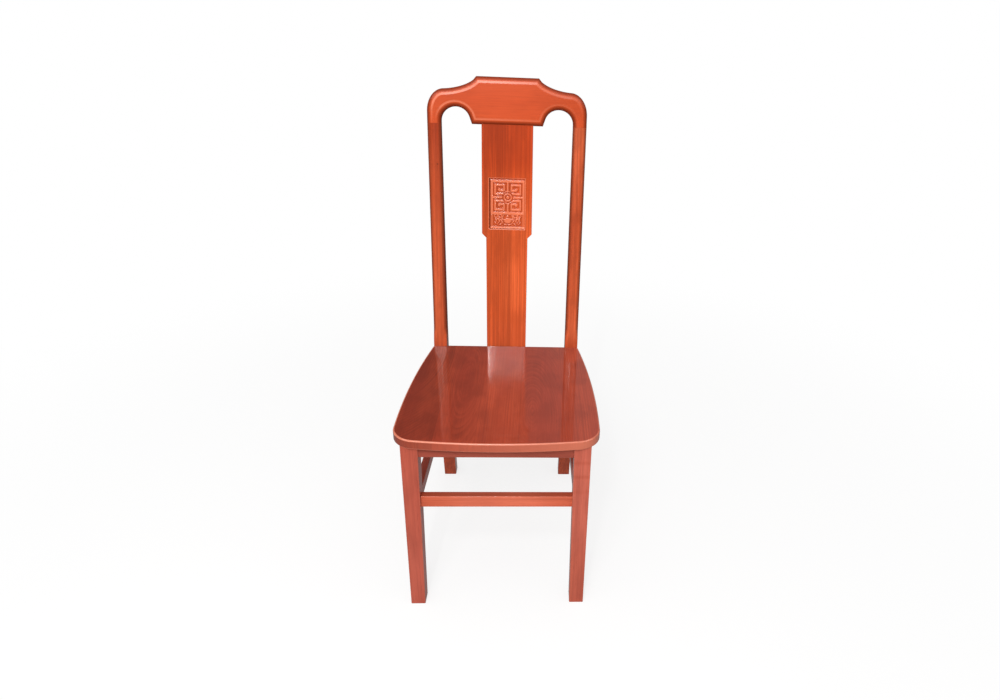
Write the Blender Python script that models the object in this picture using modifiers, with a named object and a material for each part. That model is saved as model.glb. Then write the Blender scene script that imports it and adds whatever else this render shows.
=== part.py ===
"""A solid-wood dining chair with a yoke crest rail and a carved back splat.

Units are metres. The chair faces -Y, +Z is up, and the origin is on the floor under
the middle of its overall box. Left is the -X side, as seen from in front.
"""
import math

import bmesh
import bpy
from mathutils import Matrix, Vector
from mathutils.geometry import intersect_line_plane

# Overall sizes of the chair
seat_height = 0.450
seat_run = 0.421            # front faces of the front legs to front faces of the posts
back_length = 0.667         # seat to crest top, measured along the lean of the back
back_lean = math.radians(7.59)

# Clearances between pieces and overruns of cuts
clearance = 0.0003
overrun = 0.002

# Front legs, tapered on their two inner faces
leg_row_half_width = 0.1966
leg_width = 0.0360
leg_depth = 0.0355
leg_foot_width = 0.0321
leg_foot_depth = 0.0325
leg_arris = 0.0015

# Back posts, sawn in one piece from the floor to the crest rail
post_width = 0.033
post_foot_inset = 0.0136
post_top_inset = 0.0063
post_foot_depth = 0.033
post_seat_depth = 0.037
post_foot_rake = 0.0613
post_bend_low = 0.300
post_bend_high = 0.385
post_arris = 0.0020
round_start = 0.012
round_full = 0.045

# Rounded edges that run up the posts and round the crest rail
front_round = 0.0100
back_round = 0.0060

# Crest rail
crest_thickness = 0.026
crest_height = 0.109
head_half_width = 0.0738
head_drop = 0.014
head_flare = 0.007
shoulder_inset = 0.0405
shoulder_height = 0.0790
shoulder_pull = 0.0366
shoulder_rise = 0.0025
shoulder_spring = 0.0270
chin_corner = 0.0040
arch_half_width = 0.0343
arch_crown_height = 0.0390
arch_spring = 0.0060

# Dowels in the two crest joints
dowel_radius = 0.004
dowel_length = 0.040
dowel_spacing = 0.015

# Back splat with its carved panel
splat_thickness = 0.014
splat_upper_half_width = 0.0618
splat_step_half_width = 0.0514
splat_foot_half_width = 0.0500
splat_step_low = 0.2855
splat_step_high = 0.2960
splat_arris = 0.0010
splat_tenon_thickness = 0.006
splat_tenon_length = 0.015
splat_tenon_shoulder = 0.010

panel_width = 0.0910
panel_height = 0.1235
panel_middle = 0.3708
panel_depth = 0.003
relief_height = 0.002
bar_drop = 0.0003
medallion_rise = 0.0003
fret_width = 0.0775
fret_height = 0.0725
fret_middle = 0.3866
fret_bar = 0.0035
medallion_radius = 0.0125
medallion_ring_radius = 0.0070
bowl_half_width = 0.0120
bowl_height = 0.0220
bowl_middle = 0.3270
curl_radius = 0.0070
curl_turn_share = 0.8
curl_spacing = 0.0240
scroll_path_shares = (
    (0.26, 0.17), (0.79, 0.17), (0.79, 0.79), (0.16, 0.79),
    (0.16, 0.45), (0.50, 0.45), (0.50, 0.56),
)

# Seat board
seat_thickness = 0.020
seat_overhang = 0.0212
seat_side_overhang = 0.0197
seat_widest = 0.090
seat_post_overhang = 0.0016
seat_front_bow = 0.0175
seat_corner_radius = 0.052
seat_top_round = 0.0030
seat_under_round = 0.0015

# Aprons under the seat
apron_height = 0.0295
apron_thickness = 0.020
apron_recess = 0.0035
apron_shoulder = 0.005
apron_tenon = 0.012

# Stretchers between the legs
stretcher_height = 0.027
stretcher_thickness = 0.0170
stretcher_shoulder = 0.004
stretcher_tenon = 0.010
front_stretcher_setback = 0.008
stretcher_base = 0.2695
side_stretcher_drop = 0.0092
side_stretcher_inset = 0.005
rail_arris = 0.0012

# Corner blocks and their screws
block_reach = 0.075
block_nose = 0.030
block_height = 0.024
screw_shank_radius = 0.0018
screw_head_radius = 0.0038
screw_head_height = 0.0024
screw_length = 0.030
screw_tip_length = 0.004
screw_dome_shares = (0.55, 0.85)
screw_rim_share = 0.25
block_screw_offset = 0.035
seat_screw_reach = 0.026

# Finishes
lacquer_roughness = 0.28
wood_roughness = 0.60
steel_roughness = 0.35
crest_colour = (0.70, 0.13, 0.045)
back_colour = (0.56, 0.10, 0.03)
seat_colour = (0.38, 0.07, 0.04)
frame_colour = (0.42, 0.10, 0.055)
bare_wood_colour = (0.60, 0.42, 0.25)
steel_colour = (0.60, 0.60, 0.58)

# Counts of faces in the round parts
arris_steps = 2
bend_steps = 4
round_steps = 3
arch_steps = 14
cove_steps = 9
shoulder_steps = 9
side_steps = 8
corner_steps = 7
front_steps = 7
turned_steps = 14
medallion_steps = 20
bowl_steps = 12
curl_steps = 10

# Places worked out from the sizes above
lean_rise = math.cos(back_lean)
lean_run = math.sin(back_lean)
corner_loss = back_round * (lean_rise + lean_run - 1)
back_reach = back_length * lean_run + crest_thickness * lean_rise - corner_loss
overall_depth = seat_overhang + seat_run + back_reach
leg_front = seat_overhang - overall_depth / 2
post_front = leg_front + seat_run
seat_underside = seat_height - seat_thickness
leg_height = seat_underside - clearance
post_foot_half_width = leg_row_half_width - post_foot_inset
post_top_half_width = leg_row_half_width - post_top_inset
joint_length = back_length - crest_height
joint_height = seat_height + joint_length * lean_rise
post_splay = (post_top_half_width - post_foot_half_width) / joint_height
post_slope = post_foot_rake / ((post_bend_low + post_bend_high) / 2)
splat_setback = (crest_thickness - splat_thickness) / 2
splat_foot_front = post_front + splat_setback / lean_rise - seat_thickness * lean_run / lean_rise
apron_top = seat_underside - clearance
apron_middle = apron_top - apron_height / 2
arm_inner = post_top_half_width - post_width
leg_spread = leg_row_half_width - apron_recess - apron_thickness / 2

up = Vector((0, 0, 1))
across = Vector((1, 0, 0))
back_frame = (
    Matrix.Translation((0, post_front, seat_height))
    @ Matrix.Rotation(math.pi / 2 - back_lean, 4, "X")
)


def clear_scene():
    """Empty the scene, so that the chair is all that it holds."""
    for item in list(bpy.data.objects):
        bpy.data.objects.remove(item, do_unlink=True)


def new_collection(name):
    """A collection linked into the scene."""
    group = bpy.data.collections.new(name)
    bpy.context.scene.collection.children.link(group)
    return group


clear_scene()
chair = new_collection("wooden_chair")
cutters = new_collection("cutters")


def finish(name, colour, roughness, metallic=0.0):
    """A plain surface finish for one piece."""
    material = bpy.data.materials.new(name)
    material.use_nodes = True
    shader = material.node_tree.nodes["Principled BSDF"]
    shader.inputs["Base Color"].default_value = (*colour, 1.0)
    shader.inputs["Roughness"].default_value = roughness
    shader.inputs["Metallic"].default_value = metallic
    return material


def lacquer(name, colour):
    """Clear red-brown lacquer over wood."""
    return finish(name, colour, lacquer_roughness)


def face_outwards(bm):
    """Turn every face of a closed bmesh to point out of it."""
    bmesh.ops.recalc_face_normals(bm, faces=bm.faces)
    if bm.calc_volume(signed=True) < 0:
        bmesh.ops.reverse_faces(bm, faces=bm.faces)


def piece(name, bm, material):
    """Turn a bmesh into a named piece of the chair."""
    face_outwards(bm)
    mesh = bpy.data.meshes.new(name)
    bm.to_mesh(mesh)
    bm.free()
    mesh.materials.append(material)
    item = bpy.data.objects.new(name, mesh)
    chair.objects.link(item)
    return item


def cutter(name, bm):
    """Turn a bmesh into a hidden tool for the Booleans."""
    if all(len(edge.link_faces) == 2 for edge in bm.edges):
        face_outwards(bm)
    mesh = bpy.data.meshes.new(name)
    bm.to_mesh(mesh)
    bm.free()
    tool = bpy.data.objects.new(name, mesh)
    cutters.objects.link(tool)
    tool.hide_render = True
    tool.display_type = "WIRE"
    return tool


def combine(item, tool, operation):
    """Add a Boolean to a piece."""
    modifier = item.modifiers.new(tool.name, "BOOLEAN")
    modifier.operation = operation
    modifier.solver = "EXACT"
    modifier.object = tool


def cut(item, tool):
    combine(item, tool, "DIFFERENCE")


def join(item, tool):
    combine(item, tool, "UNION")


def block(width, depth, height, place=Matrix()):
    """A box of the given sizes, centred on the place."""
    bm = bmesh.new()
    bmesh.ops.create_cube(bm, size=1.0, matrix=place @ Matrix.Diagonal((width, depth, height, 1)))
    return bm


def round_bar(radius, length, place=Matrix()):
    """A cylinder along its own Z, centred on the place."""
    bm = bmesh.new()
    bmesh.ops.create_cone(bm, cap_ends=True, segments=turned_steps, radius1=radius,
                          radius2=radius, depth=length, matrix=place)
    return bm


def plate(outline, thickness, place=Matrix()):
    """A flat outline in X and Y with its thickness centred on Z, set in its place."""
    curve = bpy.data.curves.new("outline", "CURVE")
    curve.dimensions = "2D"
    curve.fill_mode = "BOTH"
    curve.extrude = thickness / 2
    spline = curve.splines.new("POLY")
    spline.points.add(len(outline) - 1)
    for point, (x, y) in zip(spline.points, outline):
        point.co = (x, y, 0, 1)
    spline.use_cyclic_u = True
    sketch = bpy.data.objects.new("outline", curve)
    cutters.objects.link(sketch)
    depsgraph = bpy.context.evaluated_depsgraph_get()
    mesh = bpy.data.meshes.new_from_object(sketch.evaluated_get(depsgraph))
    bm = bmesh.new()
    bm.from_mesh(mesh)
    bmesh.ops.remove_doubles(bm, verts=bm.verts, dist=clearance / 10)
    for side in (-1, 1):
        cap = [face for face in bm.faces if face.normal.z * side > 0.99]
        bmesh.ops.dissolve_faces(bm, faces=cap, use_verts=False)
    face_outwards(bm)
    bm.transform(place)
    bpy.data.objects.remove(sketch)
    bpy.data.curves.remove(curve)
    bpy.data.meshes.remove(mesh)
    return bm


def round_edges(bm, edges, radius, segments):
    """Round the given edges of a bmesh."""
    bmesh.ops.bevel(bm, geom=edges, offset=radius, segments=segments, profile=0.5,
                    affect="EDGES", clamp_overlap=True, material=-1)


def arc(middle, radii, start, end, steps):
    """Points on an elliptical arc, both ends included."""
    points = []
    for step in range(steps + 1):
        angle = start + (end - start) * step / steps
        points.append((middle[0] + radii[0] * math.cos(angle), middle[1] + radii[1] * math.sin(angle)))
    return points


def mirrored(half):
    """A closed outline from its right half, which starts and ends near X = 0."""
    return half + [(-x, y) for x, y in reversed(half)]


def post_half_width(height):
    """Half the width over the two posts at a height."""
    return post_foot_half_width + post_splay * height


def post_front_below_seat(height):
    """Front face of a post below the seat: raked, then bent to upright."""
    if height >= post_bend_high:
        return post_front
    bend = post_bend_high - post_bend_low
    if height >= post_bend_low:
        return post_front + post_slope * (post_bend_high - height) ** 2 / (2 * bend)
    return post_front + post_slope * (bend / 2 + post_bend_low - height)


def section(side, middle_x, origin_y, origin_z, tilt, depth, front_radius, rear_radius):
    """The rounded outline of a post where a plane cuts it."""
    half = post_width / 2
    corners = (
        (half - rear_radius, depth - rear_radius, rear_radius, 0.0),
        (rear_radius - half, depth - rear_radius, rear_radius, math.pi / 2),
        (front_radius - half, front_radius, front_radius, math.pi),
        (half - front_radius, front_radius, front_radius, 1.5 * math.pi),
    )
    ring = []
    for x, y, radius, start in corners:
        for a, b in arc((x, y), (radius, radius), start, start + math.pi / 2, round_steps):
            ring.append(Vector((side * (middle_x + a), origin_y + b * math.cos(tilt),
                                origin_z - b * math.sin(tilt))))
    return ring


def post_sections(side):
    """Sections of a post from its foot to the crest joint."""
    bend = post_bend_high - post_bend_low
    heights = [0.0] + [post_bend_low + bend * step / bend_steps for step in range(bend_steps + 1)]
    heights.append(seat_underside)
    rings = []
    for height in heights:
        middle_x = post_half_width(height) - post_width / 2
        share = min(height / post_bend_high, 1.0)
        depth = post_foot_depth + (post_seat_depth - post_foot_depth) * share
        rings.append(section(side, middle_x, post_front_below_seat(height), height, 0.0,
                             depth, post_arris, post_arris))
    for length, rounding in ((0.0, 0.0), (round_start, 0.0), (round_full, 1.0), (joint_length, 1.0)):
        height = seat_height + length * lean_rise
        middle_x = post_half_width(height) - post_width / 2
        depth = post_seat_depth + (crest_thickness - post_seat_depth) * length / joint_length
        end_gap = clearance if length == joint_length else 0.0
        along = length - end_gap
        rings.append(section(side, middle_x, post_front + along * lean_run,
                             seat_height + along * lean_rise, back_lean, depth,
                             post_arris + (front_round - post_arris) * rounding,
                             post_arris + (back_round - post_arris) * rounding))
    return rings


def make_post(name, side):
    """A back post, lofted through sections whose rounding changes at the seat."""
    bm = bmesh.new()
    rings = [[bm.verts.new(point) for point in ring] for ring in post_sections(side)]
    count = len(rings[0])
    for lower, upper in zip(rings, rings[1:]):
        for step in range(count):
            following = (step + 1) % count
            bm.faces.new((lower[step], lower[following], upper[following], upper[step]))
    bm.faces.new(rings[0])
    bm.faces.new(rings[-1])
    return piece(name, bm, lacquer(name + " lacquer", back_colour))


def make_front_leg(name, side):
    """A front leg with upright outer faces and tapered inner faces."""
    bm = bmesh.new()
    bmesh.ops.create_cube(bm, size=1.0)
    for vert in bm.verts:
        at_top = vert.co.z > 0
        width = leg_width if at_top else leg_foot_width
        depth = leg_depth if at_top else leg_foot_depth
        x = leg_row_half_width - (width if vert.co.x < 0 else 0.0)
        y = leg_front + (depth if vert.co.y > 0 else 0.0)
        vert.co = (side * x, y, leg_height if at_top else 0.0)
    face_outwards(bm)
    eased = [edge for edge in bm.edges if min(v.co.z for v in edge.verts) < leg_height]
    round_edges(bm, eased, leg_arris, arris_steps)
    return piece(name, bm, lacquer(name + " lacquer", frame_colour))


def moved(face, distance):
    """A face given as a point and a normal, moved along its normal."""
    point, normal = face
    return point + normal * distance, normal


def beam(middle, along, thickness, height, near, far):
    """A level bar whose two ends are cut to the planes near and far."""
    aside = up.cross(along)
    bm = bmesh.new()
    bmesh.ops.create_cube(bm, size=1.0)
    for vert in bm.verts:
        plane = near if vert.co.x < 0 else far
        line = middle + aside * thickness * vert.co.y + up * height * vert.co.z
        vert.co = intersect_line_plane(line, line + along, plane[0], plane[1])
    face_outwards(bm)
    return bm


def make_rail(name, middle, along, size, shoulder, tenon, ends, colour):
    """A rail with a tenon at each end, and the mortise for it in each leg."""
    thickness, height = size
    shoulders = [moved(face, clearance) for leg, face in ends]
    bm = beam(middle, along, thickness, height, shoulders[0], shoulders[1])
    long_edges = []
    for edge in bm.edges:
        run = (edge.verts[1].co - edge.verts[0].co).normalized()
        if abs(run.dot(along)) > 0.9:
            long_edges.append(edge)
    round_edges(bm, long_edges, rail_arris, arris_steps)
    rail = piece(name, bm, lacquer(name + " lacquer", colour))
    tenon_thickness = thickness - 2 * shoulder
    tenon_height = height - 2 * shoulder
    for leg, face in ends:
        tongue = beam(middle, along, tenon_thickness, tenon_height,
                      moved(face, clearance - tenon), moved(face, clearance + overrun))
        join(rail, cutter(name + " tenon", tongue))
        socket = beam(middle, along, tenon_thickness + 2 * clearance,
                      tenon_height + 2 * clearance, moved(face, -tenon), moved(face, overrun))
        cut(leg, cutter(name + " mortise", socket))
    return rail


def leg_inner_face(side):
    """Inner face of a front leg, which looks at the chair's middle."""
    taper = leg_width - leg_foot_width
    normal = Vector((-side * leg_height, 0, -taper)).normalized()
    return Vector((side * (leg_row_half_width - leg_width), 0, leg_height)), normal


def leg_back_face():
    """Rear face of the front legs."""
    taper = leg_depth - leg_foot_depth
    return Vector((0, leg_front + leg_depth, leg_height)), Vector((0, leg_height, -taper)).normalized()


def post_inner_face(side):
    """Inner face of a back post."""
    point = Vector((side * (post_foot_half_width - post_width), 0, 0))
    return point, Vector((-side, 0, post_splay)).normalized()


def post_upright_face():
    """Front face of the posts where the aprons meet them."""
    return Vector((0, post_front, seat_underside)), Vector((0, -1, 0))


def post_raked_face():
    """Front face of the posts below the bend, where the side stretchers meet them."""
    point = Vector((0, post_front_below_seat(0.0), 0))
    return point, Vector((0, -1, -post_slope)).normalized()


def side_line(front_x, rear_x):
    """Middle and direction of a side rail, from the front leg to the post."""
    front = Vector((front_x, leg_front + leg_depth, 0))
    rear = Vector((rear_x, post_front, 0))
    return (front + rear) / 2, (rear - front).normalized()


def side_apron_line(side):
    """Middle and direction of a side apron."""
    rear_x = post_half_width(apron_middle) - apron_recess - apron_thickness / 2
    middle, along = side_line(side * leg_spread, side * rear_x)
    return middle + up * apron_middle, along


def make_aprons(legs, posts):
    """Four aprons under the seat."""
    size = (apron_thickness, apron_height)
    front = Vector((0, leg_front + apron_recess + apron_thickness / 2, apron_middle))
    rear = Vector((0, post_front + apron_thickness / 2, apron_middle))
    made = {}
    made["front"] = make_rail(
        "front_apron", front, across, size, apron_shoulder, apron_tenon,
        ((legs[-1], leg_inner_face(-1)), (legs[1], leg_inner_face(1))), seat_colour)
    made["rear"] = make_rail(
        "rear_apron", rear, across, size, apron_shoulder, apron_tenon,
        ((posts[-1], post_inner_face(-1)), (posts[1], post_inner_face(1))), frame_colour)
    for side, word in ((-1, "left"), (1, "right")):
        middle, along = side_apron_line(side)
        made[side] = make_rail(
            "side_apron_" + word, middle, along, size, apron_shoulder, apron_tenon,
            ((legs[side], leg_back_face()), (posts[side], post_upright_face())), frame_colour)
    return made


def make_stretchers(legs, posts):
    """Four stretchers, the side ones a little lower than the others."""
    size = (stretcher_thickness, stretcher_height)
    front_y = leg_front + front_stretcher_setback + stretcher_thickness / 2
    level = stretcher_base + stretcher_height / 2
    make_rail(
        "front_stretcher", Vector((0, front_y, level)), across, size,
        stretcher_shoulder, stretcher_tenon,
        ((legs[-1], leg_inner_face(-1)), (legs[1], leg_inner_face(1))), frame_colour)
    rear_y = post_front_below_seat(level) + post_foot_depth / 2
    make_rail(
        "rear_stretcher", Vector((0, rear_y, level)), across, size,
        stretcher_shoulder, stretcher_tenon,
        ((posts[-1], post_inner_face(-1)), (posts[1], post_inner_face(1))), frame_colour)
    side_z = level - side_stretcher_drop
    front_x = leg_row_half_width - leg_foot_width + side_stretcher_inset
    front_x += stretcher_thickness / 2 - (leg_width - leg_foot_width) * side_z / leg_height
    rear_x = post_half_width(side_z) - post_width / 2
    for side, word in ((-1, "left"), (1, "right")):
        middle, along = side_line(side * front_x, side * rear_x)
        make_rail(
            "side_stretcher_" + word, middle + up * side_z, along, size,
            stretcher_shoulder, stretcher_tenon,
            ((legs[side], leg_back_face()), (posts[side], post_raked_face())), frame_colour)


def circle_crossing(first, first_radius, second, second_radius):
    """The crossing of two circles that has the larger X."""
    gap = second - first
    distance = gap.length
    reach = (first_radius ** 2 - second_radius ** 2 + distance ** 2) / (2 * distance)
    offset = math.sqrt(first_radius ** 2 - reach ** 2)
    foot = first + gap * reach / distance
    swing = Vector((-gap.y, gap.x)) * offset / distance
    return max((foot + swing, foot - swing), key=lambda point: point.x)


def bow_radius(half_chord, rise):
    """Radius of an arc from its half chord and its rise."""
    return (half_chord ** 2 + rise ** 2) / (2 * rise)


def seat_outline():
    """Bowed front, rounded corners, bowed sides, and a back edge notched at the posts."""
    back_edge = post_front - clearance
    notch_x = post_half_width(seat_height) - post_width - clearance
    widest_y = leg_front + seat_widest
    seat_half_width = leg_row_half_width + seat_side_overhang
    seat_back_half_width = post_half_width(seat_height) + seat_post_overhang
    side_radius = bow_radius(back_edge - widest_y, seat_half_width - seat_back_half_width)
    front_radius = bow_radius(seat_half_width, seat_front_bow)
    side_middle = Vector((seat_half_width - side_radius, widest_y))
    front_middle = Vector((0, leg_front - seat_overhang + front_radius))
    corner = circle_crossing(side_middle, side_radius - seat_corner_radius,
                             front_middle, front_radius - seat_corner_radius)
    back_angle = math.asin((back_edge - widest_y) / side_radius)
    side_angle = math.atan2(corner.y - side_middle.y, corner.x - side_middle.x)
    front_angle = math.atan2(corner.y - front_middle.y, corner.x - front_middle.x)
    half = [(notch_x, splat_foot_front - clearance), (notch_x, back_edge)]
    half += arc(side_middle, (side_radius, side_radius), back_angle, side_angle, side_steps)
    corner_radii = (seat_corner_radius, seat_corner_radius)
    half += arc(corner, corner_radii, side_angle, front_angle, corner_steps)[1:]
    front_radii = (front_radius, front_radius)
    half += arc(front_middle, front_radii, front_angle, -math.pi / 2, front_steps)[1:-1]
    return half + [(0, leg_front - seat_overhang)] + [(-x, y) for x, y in reversed(half)]


def make_seat():
    """The seat board, with its edge rounded on top and eased below."""
    middle = seat_height - seat_thickness / 2
    bm = plate(seat_outline(), seat_thickness, Matrix.Translation((0, 0, middle)))
    limit = post_front - 2 * clearance
    for sense, radius, segments in ((1, seat_top_round, arris_steps), (-1, seat_under_round, 1)):
        rim = []
        for edge in bm.edges:
            level = all((vert.co.z - middle) * sense > clearance for vert in edge.verts)
            forward = min(vert.co.y for vert in edge.verts) < limit
            if level and forward:
                rim.append(edge)
        round_edges(bm, rim, radius, segments)
    return piece("seat_board", bm, lacquer("seat_board lacquer", seat_colour))


def cubic(points, steps):
    """Points on a cubic curve through its first and last point."""
    ends = []
    for step in range(steps + 1):
        t = step / steps
        weights = ((1 - t) ** 3, 3 * t * (1 - t) ** 2, 3 * t ** 2 * (1 - t), t ** 3)
        ends.append(tuple(sum(w * p[axis] for w, p in zip(weights, points)) for axis in (0, 1)))
    return ends


def crest_outline():
    """Head, cove, shoulder, arm, arch and chin of the crest rail, above its joint line."""
    arch_middle = arm_inner - arch_half_width
    shoulder_half_width = post_top_half_width - shoulder_inset
    chin_half_width = arch_middle - arch_half_width - chin_corner
    cove = cubic((
        (head_half_width, crest_height),
        (head_half_width + head_flare, crest_height - head_drop),
        (shoulder_half_width - shoulder_pull, shoulder_height + shoulder_rise),
        (shoulder_half_width, shoulder_height)), cove_steps)
    shoulder = arc((shoulder_half_width, shoulder_spring),
                   (post_top_half_width - shoulder_half_width, shoulder_height - shoulder_spring),
                   math.pi / 2, 0, shoulder_steps)
    arch = arc((arch_middle, arch_spring), (arch_half_width, arch_crown_height - arch_spring),
               0, math.pi, arch_steps)
    half = cove + shoulder[1:]
    half += [(post_top_half_width, 0), (arm_inner, 0)]
    half += arch
    half.append((chin_half_width, 0))
    return mirrored(half)


def on_arm_foot(vert):
    """Whether a crest vertex, still flat, lies in the joint with a post."""
    return abs(vert.co.y) < clearance and abs(vert.co.x) > arm_inner - clearance


def make_crest():
    """The crest rail: one plate, rounded all round but at its two joints."""
    bm = plate(crest_outline(), crest_thickness, Matrix.Translation((0, 0, -crest_thickness / 2)))
    for sense, radius, level in ((1, front_round, 0.0), (-1, back_round, -crest_thickness)):
        rim = []
        for edge in bm.edges:
            flat = all(abs(vert.co.z - level) < clearance for vert in edge.verts)
            if flat and not all(on_arm_foot(vert) for vert in edge.verts):
                rim.append(edge)
        round_edges(bm, rim, radius, round_steps)
    bm.transform(back_frame @ Matrix.Translation((0, joint_length, 0)))
    return piece("crest_rail", bm, lacquer("crest_rail lacquer", crest_colour))


def splat_outline(top, bottom):
    """The stepped splat: narrow below, wide above the chamfered step."""
    half = [
        (splat_upper_half_width, top),
        (splat_upper_half_width, splat_step_high),
        (splat_step_half_width, splat_step_low),
        (splat_foot_half_width, bottom),
    ]
    return mirrored(half)


def splat_tenon(half_width, end, slack):
    """A tenon across one end of the splat, or its mortise when there is slack."""
    inside = splat_tenon_shoulder
    middle = -splat_setback - splat_thickness / 2
    width = 2 * (half_width - splat_tenon_shoulder + slack)
    length = splat_tenon_length + inside + slack
    shift = (splat_tenon_length - inside + slack) / 2 * math.copysign(1, end)
    place = back_frame @ Matrix.Translation((0, end + shift, middle))
    return block(width, length, splat_tenon_thickness + 2 * slack, place)


def spiral_path():
    """A square scroll in one quarter of the fret."""
    wide = fret_width / 2 - fret_bar
    high = fret_height / 2 - fret_bar
    return [(x * wide + fret_bar / 2, y * high + fret_bar / 2) for x, y in scroll_path_shares]


def wall(path, closed, level, height):
    """A ribbon standing on a path on the panel's floor, given its width by Solidify."""
    bm = bmesh.new()
    verts = [bm.verts.new((x, y, level)) for x, y in path]
    pairs = list(zip(verts, verts[1:]))
    if closed:
        pairs.append((verts[-1], verts[0]))
    edges = [bm.edges.new(pair) for pair in pairs]
    grown = bmesh.ops.extrude_edge_only(bm, edges=edges)["geom"]
    tops = [item for item in grown if isinstance(item, bmesh.types.BMVert)]
    bmesh.ops.translate(bm, verts=tops, vec=(0, 0, height + overrun))
    return bm


def raise_wall(splat, name, path, middle, height=relief_height, closed=False):
    """Join one bar of the carving to the splat."""
    floor = -splat_setback - panel_depth - overrun
    bm = wall(path, closed, floor, height)
    bm.transform(back_frame @ Matrix.Translation((0, middle, 0)))
    tool = cutter(name, bm)
    solid = tool.modifiers.new("width", "SOLIDIFY")
    solid.thickness = fret_bar
    solid.offset = 0.0
    solid.use_even_offset = True
    join(splat, tool)


def raise_disc(splat, name, outline, middle, height=relief_height):
    """Join one flat raised shape of the carving to the splat."""
    level = -splat_setback - panel_depth + (height - overrun) / 2
    place = back_frame @ Matrix.Translation((0, middle, level))
    join(splat, cutter(name, plate(outline, height + overrun, place)))


def carve_panel(splat):
    """The sunk panel with four square scrolls, a medallion and a bowl between two curls."""
    front = -splat_setback
    place = back_frame @ Matrix.Translation((0, panel_middle, front))
    cut(splat, cutter("panel recess", block(panel_width, panel_height, 2 * panel_depth, place)))
    right = (fret_width - fret_bar) / 2
    top = (fret_height - fret_bar) / 2
    frame_path = [(right, top), (-right, top), (-right, -top), (right, -top)]
    raise_wall(splat, "fret border", frame_path, fret_middle, closed=True)
    for x in (-1, 1):
        for y in (-1, 1):
            path = [(x * a, y * b) for a, b in spiral_path()]
            raise_wall(splat, "fret scroll", path, fret_middle)
        cross_bar = [(x * medallion_ring_radius, 0), (x * right, 0)]
        raise_wall(splat, "fret cross bar", cross_bar, fret_middle, relief_height - bar_drop)
        upright = [(0, x * medallion_ring_radius), (0, x * top)]
        raise_wall(splat, "fret upright", upright, fret_middle, relief_height - bar_drop)
    radii = (medallion_radius, medallion_radius)
    circle = arc((0, 0), radii, 0, 2 * math.pi, medallion_steps)[:-1]
    raise_disc(splat, "medallion", circle, fret_middle, relief_height + medallion_rise)
    radii = (bowl_half_width, bowl_height)
    bowl = arc((0, bowl_height / 2), radii, math.pi, 2 * math.pi, bowl_steps)
    raise_disc(splat, "bowl", bowl, bowl_middle)
    for x in (-1, 1):
        radii = (curl_radius, curl_radius)
        curl_end = 2 * math.pi * curl_turn_share
        curl = arc((x * curl_spacing, 0), radii, 0, curl_end, curl_steps)
        raise_wall(splat, "curl", curl, bowl_middle)


def make_splat(crest, rear_apron):
    """The back splat, its foot cut level on the rear apron, with a tenon at each end."""
    top = joint_length - clearance
    bottom = -2 * seat_thickness
    middle = -splat_setback - splat_thickness / 2
    bm = plate(splat_outline(top, bottom), splat_thickness, Matrix.Translation((0, 0, middle)))
    level_edges = [edge for edge in bm.edges
                   if abs(edge.verts[0].co.z - edge.verts[1].co.z) < clearance]
    round_edges(bm, level_edges, splat_arris, 1)
    bm.transform(back_frame)
    level = Vector((0, 0, apron_top + clearance))
    geometry = bm.verts[:] + bm.edges[:] + bm.faces[:]
    trim = bmesh.ops.bisect_plane(bm, geom=geometry, plane_co=level, plane_no=up, clear_inner=True)
    rim = [item for item in trim["geom_cut"] if isinstance(item, bmesh.types.BMEdge)]
    bmesh.ops.holes_fill(bm, edges=rim)
    splat = piece("back_splat", bm, lacquer("back_splat lacquer", back_colour))
    foot = -seat_thickness / lean_rise
    for end, half_width, host in ((top, splat_upper_half_width, crest),
                                  (foot, splat_foot_half_width, rear_apron)):
        join(splat, cutter("splat tenon", splat_tenon(half_width, end, 0.0)))
        cut(host, cutter("splat mortise", splat_tenon(half_width, end, clearance)))
    carve_panel(splat)
    return splat


def copy_of(name, mesh, place):
    """One more copy of a repeated piece, set in its place."""
    item = bpy.data.objects.new(name, mesh)
    chair.objects.link(item)
    item.matrix_world = place
    return item


def make_dowels(crest, posts):
    """Two dowels in each joint between the crest rail and a post."""
    pattern = piece("dowel pattern", round_bar(dowel_radius, dowel_length),
                    finish("dowel wood", bare_wood_colour, wood_roughness))
    mesh = pattern.data
    bpy.data.objects.remove(pattern)
    for side, word in ((-1, "left"), (1, "right")):
        for step, spot in ((-0.5, "inner"), (0.5, "outer")):
            middle_x = side * (post_top_half_width - post_width / 2 + step * dowel_spacing)
            centre = (middle_x, joint_length, -crest_thickness / 2)
            place = back_frame @ Matrix.Translation(centre) @ Matrix.Rotation(math.pi / 2, 4, "X")
            name = "crest_dowel_" + word + "_" + spot
            copy_of(name, mesh, place)
            hole = round_bar(dowel_radius + clearance, dowel_length + 2 * clearance, place)
            bore = cutter(name + " hole", hole)
            cut(crest, bore)
            cut(posts[side], bore)


def block_corner(side, end):
    """Inner corner of the apron frame, and the two ways along the aprons from it."""
    middle, along = side_apron_line(side)
    inward = Vector((-side, 0, 0))
    face_point = middle - up.cross(along) * apron_thickness / 2 * -side
    if end == "front":
        face_y = leg_front + apron_recess + apron_thickness
        normal = Vector((0, 1, 0))
        run = along
    else:
        face_y = post_front
        normal = Vector((0, -1, 0))
        run = -along
    corner = intersect_line_plane(face_point, face_point + along, Vector((0, face_y, 0)), normal)
    side_normal = Vector((-side * abs(along.y), side * along.x, 0)).normalized()
    corner = corner + (normal + side_normal) * clearance
    return corner, inward, run


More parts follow.
